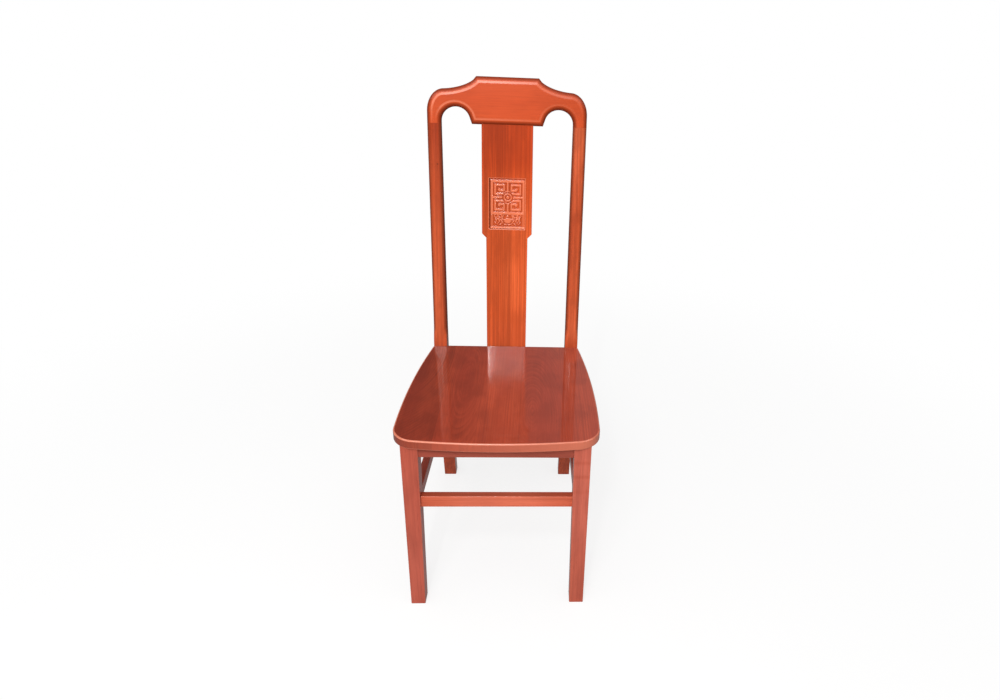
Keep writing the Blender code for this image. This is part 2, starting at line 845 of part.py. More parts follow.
def make_block(name, corner, inward, run):
    """A corner block: a triangle of wood with its nose cut off to clear the leg."""
    outline = [
        corner + inward * block_nose,
        corner + inward * block_reach,
        corner + run * block_reach,
        corner + run * block_nose,
    ]
    height = apron_top - block_height / 2
    bm = plate([(p.x, p.y) for p in outline], block_height, Matrix.Translation((0, 0, height)))
    return piece(name, bm, finish(name + " wood", bare_wood_colour, wood_roughness))


def screw_mesh():
    """A round-headed wood screw, turned about Z, its head seat at Z = 0."""
    dome_out, dome_up = screw_dome_shares
    profile = (
        (0.0, screw_head_height),
        (dome_out * screw_head_radius, dome_up * screw_head_height),
        (screw_head_radius, screw_rim_share * screw_head_height),
        (screw_head_radius, clearance),
        (screw_shank_radius, clearance),
        (screw_shank_radius, screw_tip_length - screw_length),
        (0.0, -screw_length),
    )
    bm = bmesh.new()
    verts = [bm.verts.new((x, 0, z)) for x, z in profile]
    for pair in zip(verts, verts[1:]):
        bm.edges.new(pair)
    mesh = bpy.data.meshes.new("screw profile")
    bm.to_mesh(mesh)
    bm.free()
    turning = bpy.data.objects.new("screw profile", mesh)
    cutters.objects.link(turning)
    screw = turning.modifiers.new("turn", "SCREW")
    screw.steps = turned_steps
    screw.render_steps = turned_steps
    screw.use_merge_vertices = True
    screw.merge_threshold = clearance / 10
    depsgraph = bpy.context.evaluated_depsgraph_get()
    turned = bpy.data.meshes.new_from_object(turning.evaluated_get(depsgraph))
    bpy.data.objects.remove(turning)
    return turned


def drive_screws(places, hosts):
    """Like screws in their places, and one set of holes in all that they hold."""
    pattern = screw_mesh()
    pattern.materials.append(finish("screw steel", steel_colour, steel_roughness, 1.0))
    depth = screw_length + overrun + clearance
    drop = Matrix.Translation((0, 0, overrun - depth / 2))
    hole_radius = screw_shank_radius + clearance
    holes = bmesh.new()
    for name, place in places:
        copy_of(name, pattern, place)
        bmesh.ops.create_cone(holes, cap_ends=True, segments=turned_steps, radius1=hole_radius,
                              radius2=hole_radius, depth=depth, matrix=place @ drop)
    bore = cutter("screw holes", holes)
    for host in hosts:
        cut(host, bore)


def make_blocks(aprons, seat):
    """Four corner blocks, with two screws in each and one up into the seat."""
    places = []
    blocks = []
    height = apron_top - block_height / 2
    for end in ("front", "rear"):
        for side, word in ((-1, "left"), (1, "right")):
            corner, inward, run = block_corner(side, end)
            name = end + "_" + word
            blocks.append(make_block("corner_block_" + name, corner, inward, run))
            middle = corner + (inward + run) * block_reach / 2
            middle.z = height
            aim = -(inward + run).normalized()
            slide = (inward - run).normalized()
            turn = up.rotation_difference(-aim).to_matrix().to_4x4()
            for step, spot in ((-1, "side"), (1, "cross")):
                place = Matrix.Translation(middle + slide * block_screw_offset * step) @ turn
                places.append(("block_screw_" + name + "_" + spot, place))
            under = corner + (inward + run) * seat_screw_reach
            under.z = apron_top - block_height
            turned = Matrix.Rotation(math.pi, 4, "X")
            places.append(("seat_screw_" + name, Matrix.Translation(under) @ turned))
    drive_screws(places, blocks + list(aprons.values()) + [seat])


def build_chair():
    """Make every piece, from the legs up."""
    legs = {-1: make_front_leg("front_leg_left", -1), 1: make_front_leg("front_leg_right", 1)}
    posts = {-1: make_post("rear_post_left", -1), 1: make_post("rear_post_right", 1)}
    aprons = make_aprons(legs, posts)
    make_stretchers(legs, posts)
    seat = make_seat()
    crest = make_crest()
    make_splat(crest, aprons["rear"])
    make_dowels(crest, posts)
    make_blocks(aprons, seat)


build_chair()
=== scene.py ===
# %% [markdown]
# # Dressing a dining chair
#
# The chair is solid wood: two front legs, two back posts that run up to a yoke-shaped crest rail, a
# stepped back splat with a carved panel, and a flat seat board over a frame of rails. All of it is
# stained red brown and sprayed with clear, glossy lacquer.
#
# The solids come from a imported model, which fixes every size and place. This script gives the chair
# its looks: finer edges, the moulded border, the carving, the wood and the light. Units are metres,
# the chair faces -Y, and left is the -X side as seen from in front.

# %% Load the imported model
import math

import bmesh
import bpy
import numpy as np
from mathutils import Matrix, Vector


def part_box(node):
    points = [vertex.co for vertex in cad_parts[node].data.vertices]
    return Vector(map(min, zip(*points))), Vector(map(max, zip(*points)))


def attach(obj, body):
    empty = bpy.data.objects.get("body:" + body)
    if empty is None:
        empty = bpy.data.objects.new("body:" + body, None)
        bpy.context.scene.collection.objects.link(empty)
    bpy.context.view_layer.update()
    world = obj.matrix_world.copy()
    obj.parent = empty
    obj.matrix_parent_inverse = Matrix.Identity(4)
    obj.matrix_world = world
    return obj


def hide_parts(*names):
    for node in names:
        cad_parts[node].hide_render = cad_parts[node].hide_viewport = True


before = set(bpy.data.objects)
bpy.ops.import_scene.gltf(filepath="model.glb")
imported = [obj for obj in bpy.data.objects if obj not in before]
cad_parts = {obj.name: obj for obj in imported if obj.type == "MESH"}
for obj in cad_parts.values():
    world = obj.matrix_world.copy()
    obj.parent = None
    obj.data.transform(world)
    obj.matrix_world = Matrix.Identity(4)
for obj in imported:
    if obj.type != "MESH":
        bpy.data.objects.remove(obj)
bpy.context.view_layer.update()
print("packed nodes:", len(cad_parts))

# %% [markdown]
# ## The camera
#
# The photograph was taken standing up, from a step in front of the chair and a little to its right,
# with a wide lens, so the seat is seen from above and the legs run together towards the floor. The
# picture is a crop of a larger one: its optical centre lies up and to the right of its middle, which
# the camera's shift repeats. A turned and tilted camera with no shift could not show the same lines.
# The optical centre is given in the photograph's pixels, and the three angles in radians.

# %% Camera
photo_size = (1000, 700)
optical_centre = (577.85, 314.97)
camera_place = Vector((0.0757, -1.4213, 1.2357))
camera_turn = 0.0681
camera_tilt = 0.4100
camera_roll = 0.0449
sensor_width = 36.0
focal_length = 24.236

lens = bpy.data.cameras.new("photo_camera")
lens.sensor_width = sensor_width
lens.lens = focal_length
lens.shift_x = (photo_size[0] / 2 - optical_centre[0]) / photo_size[0]
lens.shift_y = (optical_centre[1] - photo_size[1] / 2) / photo_size[0]
camera = bpy.data.objects.new("photo_camera", lens)
bpy.context.scene.collection.objects.link(camera)
camera.matrix_world = (
    Matrix.Translation(camera_place)
    @ Matrix.Rotation(-camera_turn, 4, "Z")
    @ Matrix.Rotation(math.pi / 2 - camera_tilt, 4, "X")
    @ Matrix.Rotation(camera_roll, 4, "Z")
)
bpy.context.scene.camera = camera
bpy.context.scene.view_settings.view_transform = "Standard"
print("camera shift:", round(lens.shift_x, 4), round(lens.shift_y, 4))

# %% [markdown]
# ## Helpers for materials
#
# A procedural finish is a graph of small nodes. Two short functions keep the graphs readable: one
# adds a node and fills or links its inputs, the other does a sum. Both return what the next line
# needs, so a graph reads from top to bottom like a recipe.


# %% Node helpers
def add_node(tree, kind, inputs=None, **options):
    """Add a shader node, set its options, and fill or link its inputs."""
    item = tree.nodes.new("ShaderNode" + kind)
    for name, value in options.items():
        setattr(item, name, value)
    for name, value in (inputs or {}).items():
        if isinstance(value, bpy.types.NodeSocket):
            tree.links.new(value, item.inputs[name])
        else:
            item.inputs[name].default_value = value
    return item


def calculate(tree, operation, *values):
    """The result of a Math node on numbers or sockets."""
    return add_node(tree, "Math", dict(enumerate(values)), operation=operation).outputs[0]


def fade(tree, value, start, end, low=0.0, high=1.0):
    """A smooth change from low to high as the value goes from start to end."""
    inputs = {"Value": value, "From Min": start, "From Max": end, "To Min": low, "To Max": high}
    return add_node(tree, "MapRange", inputs, interpolation_type="SMOOTHSTEP").outputs[0]


def mix_colours(tree, share, first, second):
    """The first colour, giving way to the second as the share goes from 0 to 1."""
    first_socket, second_socket, result_socket = 6, 7, 2
    inputs = {0: share, first_socket: first, second_socket: second}
    return add_node(tree, "Mix", inputs, data_type="RGBA").outputs[result_socket]


node_helpers = (add_node, calculate, fade, mix_colours)
print("node helpers:", ", ".join(helper.__name__ for helper in node_helpers))

# %% [markdown]
# ## Floor and backdrop
#
# The photograph's ground is plain white. A floor that is only brightly lit would need so much light
# that the chair would burn out. Here the floor is pale and keeps the chair's soft shadow, and a
# part of its colour, more of it further out, is a plain white that only the camera sees. In the
# lacquer's gloss the floor is a dim glow of its own, a painted reflection a little brighter near the
# chair, which keeps the legs and rails deep. Past the floor's edge the world shows the camera the
# same white.

# %% Floor
floor_radius = 9.0
floor_steps = 96
floor_colour = (0.93, 0.925, 0.92, 1.0)
floor_bounce = (0.62, 0.60, 0.58, 1.0)
white = (1.0, 1.0, 1.0, 1.0)
white_near_share = 0.78
white_from = 0.55
white_to = 2.2
gloss_near = 0.30
gloss_far = 0.05
gloss_from = 0.35
gloss_to = 1.60


def paint_floor():
    """Pale matt floor that turns to plain white away from the chair, and a dim painted glow in the gloss.
    """
    material = bpy.data.materials.new("pale_floor")
    material.use_nodes = True
    tree = material.node_tree
    tree.nodes.clear()
    rays = add_node(tree, "LightPath").outputs
    place = add_node(tree, "TexCoord").outputs["Object"]
    distance = add_node(tree, "VectorMath", {0: place}, operation="LENGTH").outputs["Value"]
    spread = fade(tree, distance, white_from, white_to, white_near_share, 1.0)
    colour = mix_colours(tree, rays["Is Camera Ray"], floor_bounce, floor_colour)
    matt = add_node(tree, "BsdfDiffuse", {"Color": colour}).outputs[0]
    plain = add_node(tree, "Emission", {"Color": white, "Strength": 1.0}).outputs[0]
    share = calculate(tree, "MULTIPLY", spread, rays["Is Camera Ray"])
    seen = add_node(tree, "MixShader", {0: share, 1: matt, 2: plain}).outputs[0]
    # Painted reflection: to glossy rays the floor glows with its own light, a little brighter near the
    # chair.
    level = fade(tree, distance, gloss_from, gloss_to, gloss_near, gloss_far)
    dim = add_node(tree, "Emission", {"Color": white, "Strength": level}).outputs[0]
    shown = add_node(tree, "MixShader", {0: rays["Is Glossy Ray"], 1: seen, 2: dim}).outputs[0]
    add_node(tree, "OutputMaterial", {"Surface": shown})
    return material


def make_floor():
    """A round floor under the chair."""
    bm = bmesh.new()
    bmesh.ops.create_circle(bm, cap_ends=True, segments=floor_steps, radius=floor_radius)
    mesh = bpy.data.meshes.new("floor")
    bm.to_mesh(mesh)
    bm.free()
    mesh.materials.append(paint_floor())
    floor = bpy.data.objects.new("floor", mesh)
    bpy.context.scene.collection.objects.link(floor)
    return floor


print("floor:", make_floor().dimensions[:])

# %% [markdown]
# ## Light
#
# Lacquer shows its surroundings, so the light is planned as what the gloss reflects. One lamp
# alone would light the chair, but not draw the lines that the photograph has.
#
# The room round the chair is painted into the world. Ahead it is dark low down and bright high up,
# which gives the crest's border its line, and a soft box on each side, the left one brighter, runs
# down the rounded posts. Behind the chair there is a low glow, dimmer on the left, and darkness
# above it, which keeps the seat's sides deep. Only the gloss sees this room. Rays that carry soft
# light get a plain fill instead, strongest from the front, so a colour renders about as it is
# written.

# %% World
# The soft fill: the way to its middle, and its level on the far side and in the middle.
fill_from = (-0.12, -0.84, 0.52)
fill_turn = (-0.45, 1.0)
fill_low = 0.22
fill_high = 1.08
# Where the room ahead gives way to the room behind, along Y.
ahead_turn = (-0.25, 0.15)
# The room ahead: between these heights it goes from its low to its high level.
front_band = (0.28, 0.50)
front_low = 0.02
front_high = 2.4
# The room behind: a glow that ends between these heights, and a wall that is brighter to the right.
rear_band = (0.04, 0.30)
rear_low = 0.45
side_turn = (-0.13, 0.12)
side_dim = 0.09
side_bright = 0.42
# The two soft boxes: their lower, upper and inner edges, and their levels.
box_rise = (0.40, 0.48)
box_fall = (0.68, 0.76)
box_turn = (0.30, 0.42)
left_box = 5.5
right_box = 3.0


def paint_world():
    """White to the camera, a dim room to the gloss, and soft light from the front to the wood."""
    world = bpy.data.worlds.new("studio")
    world.use_nodes = True
    tree = world.node_tree
    tree.nodes.clear()
    direction = add_node(tree, "TexCoord").outputs["Generated"]
    parts = add_node(tree, "SeparateXYZ", {0: direction}).outputs
    facing = add_node(tree, "VectorMath", {0: direction, 1: fill_from}, operation="DOT_PRODUCT")
    soft = fade(tree, facing.outputs["Value"], *fill_turn, fill_low, fill_high)
    front = fade(tree, parts["Z"], *front_band, front_low, front_high)
    side = fade(tree, parts["X"], *side_turn, side_dim, side_bright)
    boxes = calculate(tree, "ADD", fade(tree, parts["X"], *box_turn, 0.0, right_box),
                      fade(tree, parts["X"], -box_turn[0], -box_turn[1], 0.0, left_box))
    boxes = calculate(tree, "MULTIPLY", boxes, fade(tree, parts["Z"], *box_rise))
    boxes = calculate(tree, "MULTIPLY", boxes, fade(tree, parts["Z"], *box_fall, 1.0, 0.0))
    front = calculate(tree, "ADD", front, boxes)
    rear = fade(tree, parts["Z"], *rear_band, rear_low, 0.0)
    rear = calculate(tree, "MAXIMUM", rear, side)
    share = fade(tree, parts["Y"], *ahead_turn)
    room = add_node(tree, "Mix", {0: share, 2: front, 3: rear}, data_type="FLOAT").outputs[0]
    rays = add_node(tree, "LightPath").outputs
    fill = add_node(tree, "Background", {"Color": white, "Strength": soft}).outputs[0]
    gloss = add_node(tree, "Background", {"Color": white, "Strength": room}).outputs[0]
    plain = add_node(tree, "Background", {"Color": white, "Strength": 1.0}).outputs[0]
    lit = add_node(tree, "MixShader", {0: rays["Is Glossy Ray"], 1: fill, 2: gloss}).outputs[0]
    clear = calculate(tree, "MAXIMUM", rays["Is Camera Ray"], rays["Is Transmission Ray"])
    shown = add_node(tree, "MixShader", {0: clear, 1: lit, 2: plain}).outputs[0]
    add_node(tree, "OutputWorld", {"Surface": shown})
    bpy.context.scene.world = world


paint_world()
print("world:", bpy.context.scene.world.name, "with a fill of", fill_low, "to", fill_high)

# %% [markdown]
# ## Lamps
#
# The seat shows a pale band with one bright streak, where the splat's own gloss is mirrored in it.
# So the flat lamp that the splat mirrors stands high in front, and is cut into three parts side by
# side: a wide key lamp on the left, a narrow strip that is far brighter and draws the streak, and a
# part on the right that is about as bright as the key. The upper edge of the three sets where the
# band ends on the seat. Their level is given as the radiance that the gloss shows, because watts
# would change it with every change of size.

# %% Three lamps
lamp_aim = Vector((0.0, 0.17, 0.45))
lamp_distance = 3.0
lamp_height = 0.83
lamp_rise = math.radians(37.8)
# Name, left edge, right edge and radiance of each part.
lamp_parts = (("key", -0.95, -0.30, 12.5), ("strip", -0.30, -0.25, 140.0), ("side", -0.25, 0.10, 14.0))


def hang_lamp(name, low_x, high_x, radiance):
    """A flat lamp in front of the chair, high up, that looks at the foot of the splat."""
    lamp = bpy.data.lights.new(name, "AREA")
    lamp.shape = "RECTANGLE"
    lamp.size = high_x - low_x
    lamp.size_y = lamp_height
    # A matt emitter of this size sends out its radiance times pi times its area.
    lamp.energy = radiance * math.pi * lamp.size * lamp.size_y
    item = bpy.data.objects.new(name, lamp)
    bpy.context.scene.collection.objects.link(item)
    reach = lamp_distance * math.cos(lamp_rise)
    rise = lamp_distance * math.sin(lamp_rise)
    item.location = ((low_x + high_x) / 2, lamp_aim.y - reach, lamp_aim.z + rise)
    item.rotation_euler = (math.pi / 2 - lamp_rise, 0, 0)
    item.visible_camera = False
    print(name, "lamp of", round(lamp.energy, 1), "watts at", [round(v, 3) for v in item.location])
    return item


for name, low_x, high_x, radiance in lamp_parts:
    hang_lamp(name, low_x, high_x, radiance)

# %% [markdown]
# ## Lacquered wood
#
# Wood is a stack of cones of growth rings. A saw cut shows them as straight lines where it runs
# along the trunk's middle, and as nested arches where it grazes the rings. So the pattern is not
# painted on each face: it is the distance from a slanting pith, worked out in space, and each piece
# is cut from its own place in the trunk. In ash and oak the first wood of a year is porous and
# drinks more stain, which gives a dark line that fades towards the next ring.
#
# An image of wood would slide off the edges and repeat. Noise alone would look like smoke, because
# it knows nothing of rings.

# %% Noise and ramps
# Each noise: its changes per metre across, through and along the grain, and then its detail.
fibre_noise = ((620.0, 620.0, 9.0), 3.0)
streak_noise = ((230.0, 230.0, 3.0), 5.0)
pore_noise = ((1500.0, 1500.0, 34.0), 2.0)
patch_noise = ((14.0, 14.0, 2.0), 3.0)
strength_noise = ((28.0, 28.0, 4.0), 2.0)
sway_noise = ((6.0, 6.0, 1.5), 2.0)
swell_noise = ((16.0, 16.0, 16.0), 2.0)


def noise(tree, place, pattern):
    """Noise that changes faster across the grain than along it."""
    stretch, detail = pattern
    space = add_node(tree, "Mapping", {"Vector": place, "Scale": stretch}).outputs[0]
    return add_node(tree, "TexNoise", {"Vector": space, "Scale": 1.0, "Detail": detail}).outputs[0]


def ramp(tree, value, stops, interpolation="EASE"):
    """A grey level read from a table of positions and levels."""
    item = add_node(tree, "ValToRGB", {"Fac": value})
    table = item.color_ramp
    table.interpolation = interpolation
    while len(table.elements) < len(stops):
        table.elements.new(1.0)
    for element, (position, level) in zip(table.elements, stops):
        element.position = position
        element.color = (level, level, level, 1.0)
    return calculate(tree, "ADD", item.outputs["Color"], 0.0)


print("fibres per metre across the grain:", fibre_noise[0][0])

# %% Growth rings
pith_wander = 0.012
pith_drift = 0.02
ring_width = 0.0045
# Years thicker and thinner: how often within a ring's width, by how many rings, and in what detail.
uneven_share = 0.45
uneven_years = 3.2
uneven_detail = 3.0
# Where in a year, from 0 to 1, its porous wood has faded away, and where the next year's begins.
porous_end = 0.70
porous_start = 0.88


def pith_distance(tree, across, depth, wander, space):
    """Distance from the pith, which wanders a little along the trunk."""
    sway = noise(tree, space, sway_noise)
    bend = calculate(tree, "MULTIPLY_ADD", sway, wander, -wander / 2)
    x = calculate(tree, "ADD", across, bend)
    y = calculate(tree, "ADD", depth, bend)
    flat = add_node(tree, "CombineXYZ", {0: x, 1: y}).outputs[0]
    return add_node(tree, "VectorMath", {0: flat}, operation="LENGTH").outputs["Value"]


def early_wood(tree, distance, ring):
    """1 in the porous first wood of each ring, fading to 0 across the year."""
    line = add_node(tree, "CombineXYZ", {0: distance}).outputs[0]
    inputs = {"Vector": line, "Scale": uneven_share / ring, "Detail": uneven_detail}
    uneven = add_node(tree, "TexNoise", inputs).outputs[0]
    years = calculate(tree, "DIVIDE", distance, ring)
    years = calculate(tree, "MULTIPLY_ADD", uneven, uneven_years, years)
    phase = calculate(tree, "FRACT", years)
    late = fade(tree, phase, 0.0, porous_end)
    start = fade(tree, phase, porous_start, 1.0)
    return calculate(tree, "SUBTRACT", calculate(tree, "ADD", start, 1.0), late)


print("rings", ring_width * 1000, "mm apart")

# %% [markdown]
# ## Stain
#
# The stain soaks in unevenly: it is dark in the rings' porous wood, in the pores and in streaks
# along the grain, and a little cloudy all over. Each of these is a mask that mixes a darker share
# of the wood's own colour into it, so that a board keeps one hue. Where a piece is darker as a
# whole, as near its ends or with painted shade, the green and blue fall faster than the red, as
# they do under more dye.

# %% Stained tone
# The levels of each noise between which its mask goes from 0 to 1.
fibre_range = (0.30, 0.70)
streak_range = (0.36, 0.64)
patch_range = (0.32, 0.68)
strength_range = (0.38, 0.62)
cloud_range = (0.40, 0.66)
pore_range = (0.60, 0.70)
# The share of the wood's colour that is left where a mask is full.
ring_tone = 0.50
streak_tone = 0.55
fibre_tone = 0.60
cloud_tone = 0.62
pore_tone = 0.25
fibre_strength = 0.24
pore_strength = 0.45
faint_ring_share = 0.25
late_pore_share = 0.25
fibre_relief = 0.35
cloud_detail = 4.0
# Clouds in the stain: changes per metre as in a noise, and strength.
board_clouds = ((30.0, 30.0, 9.0), 0.30)
splat_clouds = ((42.0, 42.0, 8.0), 0.62)
post_clouds = ((60.0, 60.0, 18.0), 0.50)
leg_clouds = ((48.0, 48.0, 9.0), 0.34)
seat_clouds = ((24.0, 24.0, 15.0), 0.44)


def scaled(colour, share):
    """A colour made lighter or darker."""
    return (*[value * share for value in colour[:3]], 1.0)


def darken(tree, tone, level, redden=(1.0, 1.0)):
    """A colour under more stain or painted shade: darker, and redder too if green and blue fall faster.
    """
    green = calculate(tree, "POWER", level, redden[0])
    blue = calculate(tree, "POWER", level, redden[1])
    share = add_node(tree, "CombineXYZ", {0: level, 1: green, 2: blue}).outputs[0]
    return add_node(tree, "VectorMath", {0: tone, 1: share}, operation="MULTIPLY").outputs[0]


def stained_tone(tree, space, early, colour, warm, rings, streaks, clouds, pores=pore_strength):
    """Stain over rings, streaks, fibres and pores; returns the colour and the fibre height."""
    fibre = noise(tree, space, fibre_noise)
    streak = fade(tree, noise(tree, space, streak_noise), *streak_range)
    patch = fade(tree, noise(tree, space, patch_noise), *patch_range)
    strength = fade(tree, noise(tree, space, strength_noise), *strength_range, faint_ring_share, 1.0)
    pore = fade(tree, noise(tree, space, pore_noise), *pore_range)
    porous = calculate(tree, "MULTIPLY_ADD", early, 1 - late_pore_share, late_pore_share)
    pore = calculate(tree, "MULTIPLY", pore, porous)
    lines = calculate(tree, "MULTIPLY", calculate(tree, "MULTIPLY", early, strength), rings)
    lasting = calculate(tree, "MULTIPLY", streak, streaks)
    fine = fade(tree, fibre, *fibre_range, 0.0, fibre_strength)
    cloud_stretch, cloud_strength = clouds
    cloud = noise(tree, space, (cloud_stretch, cloud_detail))
    cloud = fade(tree, cloud, *cloud_range, 0.0, cloud_strength)
    holes = calculate(tree, "MULTIPLY", pore, pores)
    tone = mix_colours(tree, patch, (*colour, 1.0), (*warm, 1.0))
    for mask, left in ((lines, ring_tone), (lasting, streak_tone), (fine, fibre_tone),
                       (cloud, cloud_tone), (holes, pore_tone)):
        tone = mix_colours(tree, mask, tone, scaled(colour, left))
    height = calculate(tree, "SUBTRACT", calculate(tree, "MULTIPLY", fibre, fibre_relief), pore)
    return tone, fibre, height


print("ring lines keep", ring_tone, "of the colour, pores", pore_tone)

# %% [markdown]
# ## Clear lacquer
#
# Over the stain lies clear lacquer: a coat with its own smooth gloss, while the wood under it stays
# softer. The coat has two reliefs. The wood's pores show through it a little, and a wide, faint
# swell is what a sprayed skin has, which bends the reflections.
#
# The colour also carries painted light. Edges are rubbed paler, some edges and bands carry a painted
# highlight, and hollows and outer walls carry painted shade. Each piece has an attribute named "rim"
# that says where: it is positive where the wood is rubbed pale or has a painted highlight, up to 1,
# and negative where painted shade lies, down to -1, with a thinner coat. The coat is rougher with
# both. An attribute follows the shape exactly, which no noise could.

# %% Lacquer
# The pale colour of rubbed edges and painted highlights, and the tone, strength and thinner coat of the
# painted shade.
wear_and_highlight_colour = (0.27, 0.145, 0.095)
wear_and_highlight_base_share = 0.80
wear_and_highlight_strength = 0.80
shade_tone = 0.27
shade_strength = 0.88
shaded_coat_share = 0.30
rim_roughness = 0.22
# Strength and depth of the two reliefs, and how much of the grain the coat's own skin shows.
grain_bump = (0.35, 0.00008)
film_bump = (0.5, 0.00012)
film_grain_share = 0.008
wood_roughness = 0.36
fibre_roughness = 0.20
wood_gloss = 0.08
lacquer_ior = 1.5


def relief(tree, height, strength, distance):
    """A normal that is bent by a height."""
    inputs = {"Height": height, "Strength": strength, "Distance": distance}
    return add_node(tree, "Bump", inputs).outputs[0]


def shade_rims(tree, tone, rim, colour, warm):
    """The tone, paler where the rim value is positive, for rubbed edges and painted highlights, and
    darker with painted shade where it is negative.
    """
    pale = (*[value * wear_and_highlight_base_share + paleness for value, paleness in zip(warm, wear_and_highlight_colour)], 1.0)
    tone = mix_colours(tree, fade(tree, rim, 0.0, 1.0, 0.0, wear_and_highlight_strength), tone, pale)
    shade_share = fade(tree, rim, 0.0, -1.0, 0.0, shade_strength)
    return mix_colours(tree, shade_share, tone, scaled(colour, shade_tone))


def finish_lacquer(tree, tone, fibre, height, colour, warm, gloss, coat=1.0):
    """Painted shade and pale rims, the softer wood and the clear coat over it."""
    shader = tree.nodes["Principled BSDF"]
    place = add_node(tree, "TexCoord").outputs["Object"]
    rim = add_node(tree, "Attribute", attribute_name="rim").outputs["Fac"]
    skin = calculate(tree, "MULTIPLY_ADD", height, film_grain_share, noise(tree, place, swell_noise))
    worn = calculate(tree, "MULTIPLY_ADD", calculate(tree, "ABSOLUTE", rim), rim_roughness, gloss)
    links = {
        "Base Color": shade_rims(tree, tone, rim, colour, warm),
        "Roughness": calculate(tree, "MULTIPLY_ADD", fibre, fibre_roughness, wood_roughness),
        "Normal": relief(tree, height, *grain_bump),
        "Coat Normal": relief(tree, skin, *film_bump),
        "Coat Roughness": worn,
        "Coat Weight": fade(tree, rim, 0.0, -1.0, coat, coat * shaded_coat_share),
    }
    for name, socket in links.items():
        tree.links.new(socket, shader.inputs[name])
    shader.inputs["Specular IOR Level"].default_value = wood_gloss
    shader.inputs["Coat IOR"].default_value = lacquer_ior


print("the coat is", rim_roughness, "rougher on full rims")

# %% Wood of one board, and wood glued up from staves
knot_reach = 0.0036
knot_tone = 0.15
stave_wander = 0.026
stave_rings = 0.42
stave_streaks = 0.16
# A ramp reads only 0 to 1, so places on the seat, from -0.5 to 0.5 m, are moved up by this much.
ramp_shift = 0.5


def vary_along(tree, tone, place, stain, ends, redden):
    """Darker by height, from a table of stain and, on the posts, painted shade, and towards both ends of
    a level piece.
    """
    parts = add_node(tree, "SeparateXYZ", {0: place}).outputs
    if stain:
        tone = darken(tree, tone, ramp(tree, parts["Z"], stain), redden)
    if ends:
        reach = calculate(tree, "ABSOLUTE", parts["X"])
        tone = darken(tree, tone, fade(tree, reach, *ends), redden)
    return tone


def lacquered_wood(name, colour, warm, turn, pith, ring=ring_width, rings=0.12, streaks=0.30,
                   clouds=board_clouds, pores=pore_strength, gloss=0.11, coat=1.0, stain=None,
                   redden=(1.8, 2.4), sapwood=None, knot=None, ends=None):
    """Stained ring-porous wood under clear lacquer, cut from its own place in the trunk."""
    material = bpy.data.materials.new(name)
    material.use_nodes = True
    tree = material.node_tree
    place = add_node(tree, "TexCoord").outputs["Object"]
    space = add_node(tree, "Mapping", {"Vector": place, "Rotation": turn, "Location": pith}).outputs[0]
    parts = add_node(tree, "SeparateXYZ", {0: space}).outputs
    depth = calculate(tree, "MULTIPLY_ADD", parts["Z"], pith_drift, parts["Y"])
    early = early_wood(tree, pith_distance(tree, parts["X"], depth, pith_wander, space), ring)
    tone, fibre, height = stained_tone(tree, space, early, colour, warm, rings, streaks, clouds, pores)
    tone = vary_along(tree, tone, place, stain, ends, redden)
    if sapwood:
        tone = darken(tree, tone, fade(tree, parts["X"], *sapwood))
    if knot:
        gap = add_node(tree, "VectorMath", {0: place, 1: knot}, operation="DISTANCE").outputs["Value"]
        near = fade(tree, gap, 0.0, knot_reach, 1.0, 0.0)
        tone = mix_colours(tree, near, tone, scaled(colour, knot_tone))
    finish_lacquer(tree, tone, fibre, height, colour, warm, gloss, coat)
    return material


def glued_wood(name, colour, warm, turn, ring, staves, gloss=0.06):
    """The same wood glued up from staves, each with its own tone and pith."""
    material = bpy.data.materials.new(name)
    material.use_nodes = True
    tree = material.node_tree
    place = add_node(tree, "TexCoord").outputs["Object"]
    space = add_node(tree, "Mapping", {"Vector": place, "Rotation": turn}).outputs[0]
    parts = add_node(tree, "SeparateXYZ", {0: space}).outputs
    starts, tones, middles, origins, slopes = zip(*staves)
    share = calculate(tree, "ADD", parts["X"], ramp_shift)
    moved = [[spot + ramp_shift for spot in spots] for spots in (starts, middles, origins)]
    tables = [list(zip(moved[0], values)) for values in (tones, moved[1], moved[2], slopes)]
    tone_level, middle, origin, slope = [ramp(tree, share, stops, "CONSTANT") for stops in tables]
    across = calculate(tree, "SUBTRACT", share, middle)
    along = calculate(tree, "SUBTRACT", calculate(tree, "ADD", parts["Z"], ramp_shift), origin)
    depth = calculate(tree, "MULTIPLY", along, slope)
    early = early_wood(tree, pith_distance(tree, across, depth, stave_wander, space), ring)
    tone, fibre, height = stained_tone(tree, space, early, colour, warm, stave_rings, stave_streaks,
                                       seat_clouds)
    finish_lacquer(tree, darken(tree, tone, tone_level), fibre, height, colour, warm, gloss)
    return material


print("a knot is", knot_reach * 2000, "mm across")

# %% [markdown]
# ## The woods of this chair
#
# The maker stained the pieces one by one before the glue went on, so no two have the same colour:
# the crest is an even orange red, the splat is redder at its top, the seat is brown, and the legs
# are duller than the back. One material for all would be quicker and would look moulded. Each piece
# gets its own pair of colours, its own place in the trunk, and a table that says how its stain
# changes with height. Some colours also carry painted light: the front apron is darker with painted
# shade from the seat, the front stretcher is lighter with painted light, and the posts are darker
# below the seat with painted shade.

# %% Colours
crest_red = (0.525, 0.061, 0.0115)
crest_orange = (0.560, 0.073, 0.0150)
splat_red = (0.640, 0.096, 0.0218)
splat_orange = (0.745, 0.132, 0.0355)
post_red = (0.655, 0.113, 0.0360)
post_orange = (0.765, 0.158, 0.0580)
seat_red = (0.363, 0.045, 0.0195)
seat_brown = (0.485, 0.068, 0.0270)
frame_red = (0.420, 0.076, 0.047)
frame_brown = (0.497, 0.106, 0.066)
leg_colours = {"left": (frame_red, frame_brown),
               "right": ((0.480, 0.096, 0.061), (0.556, 0.130, 0.082))}
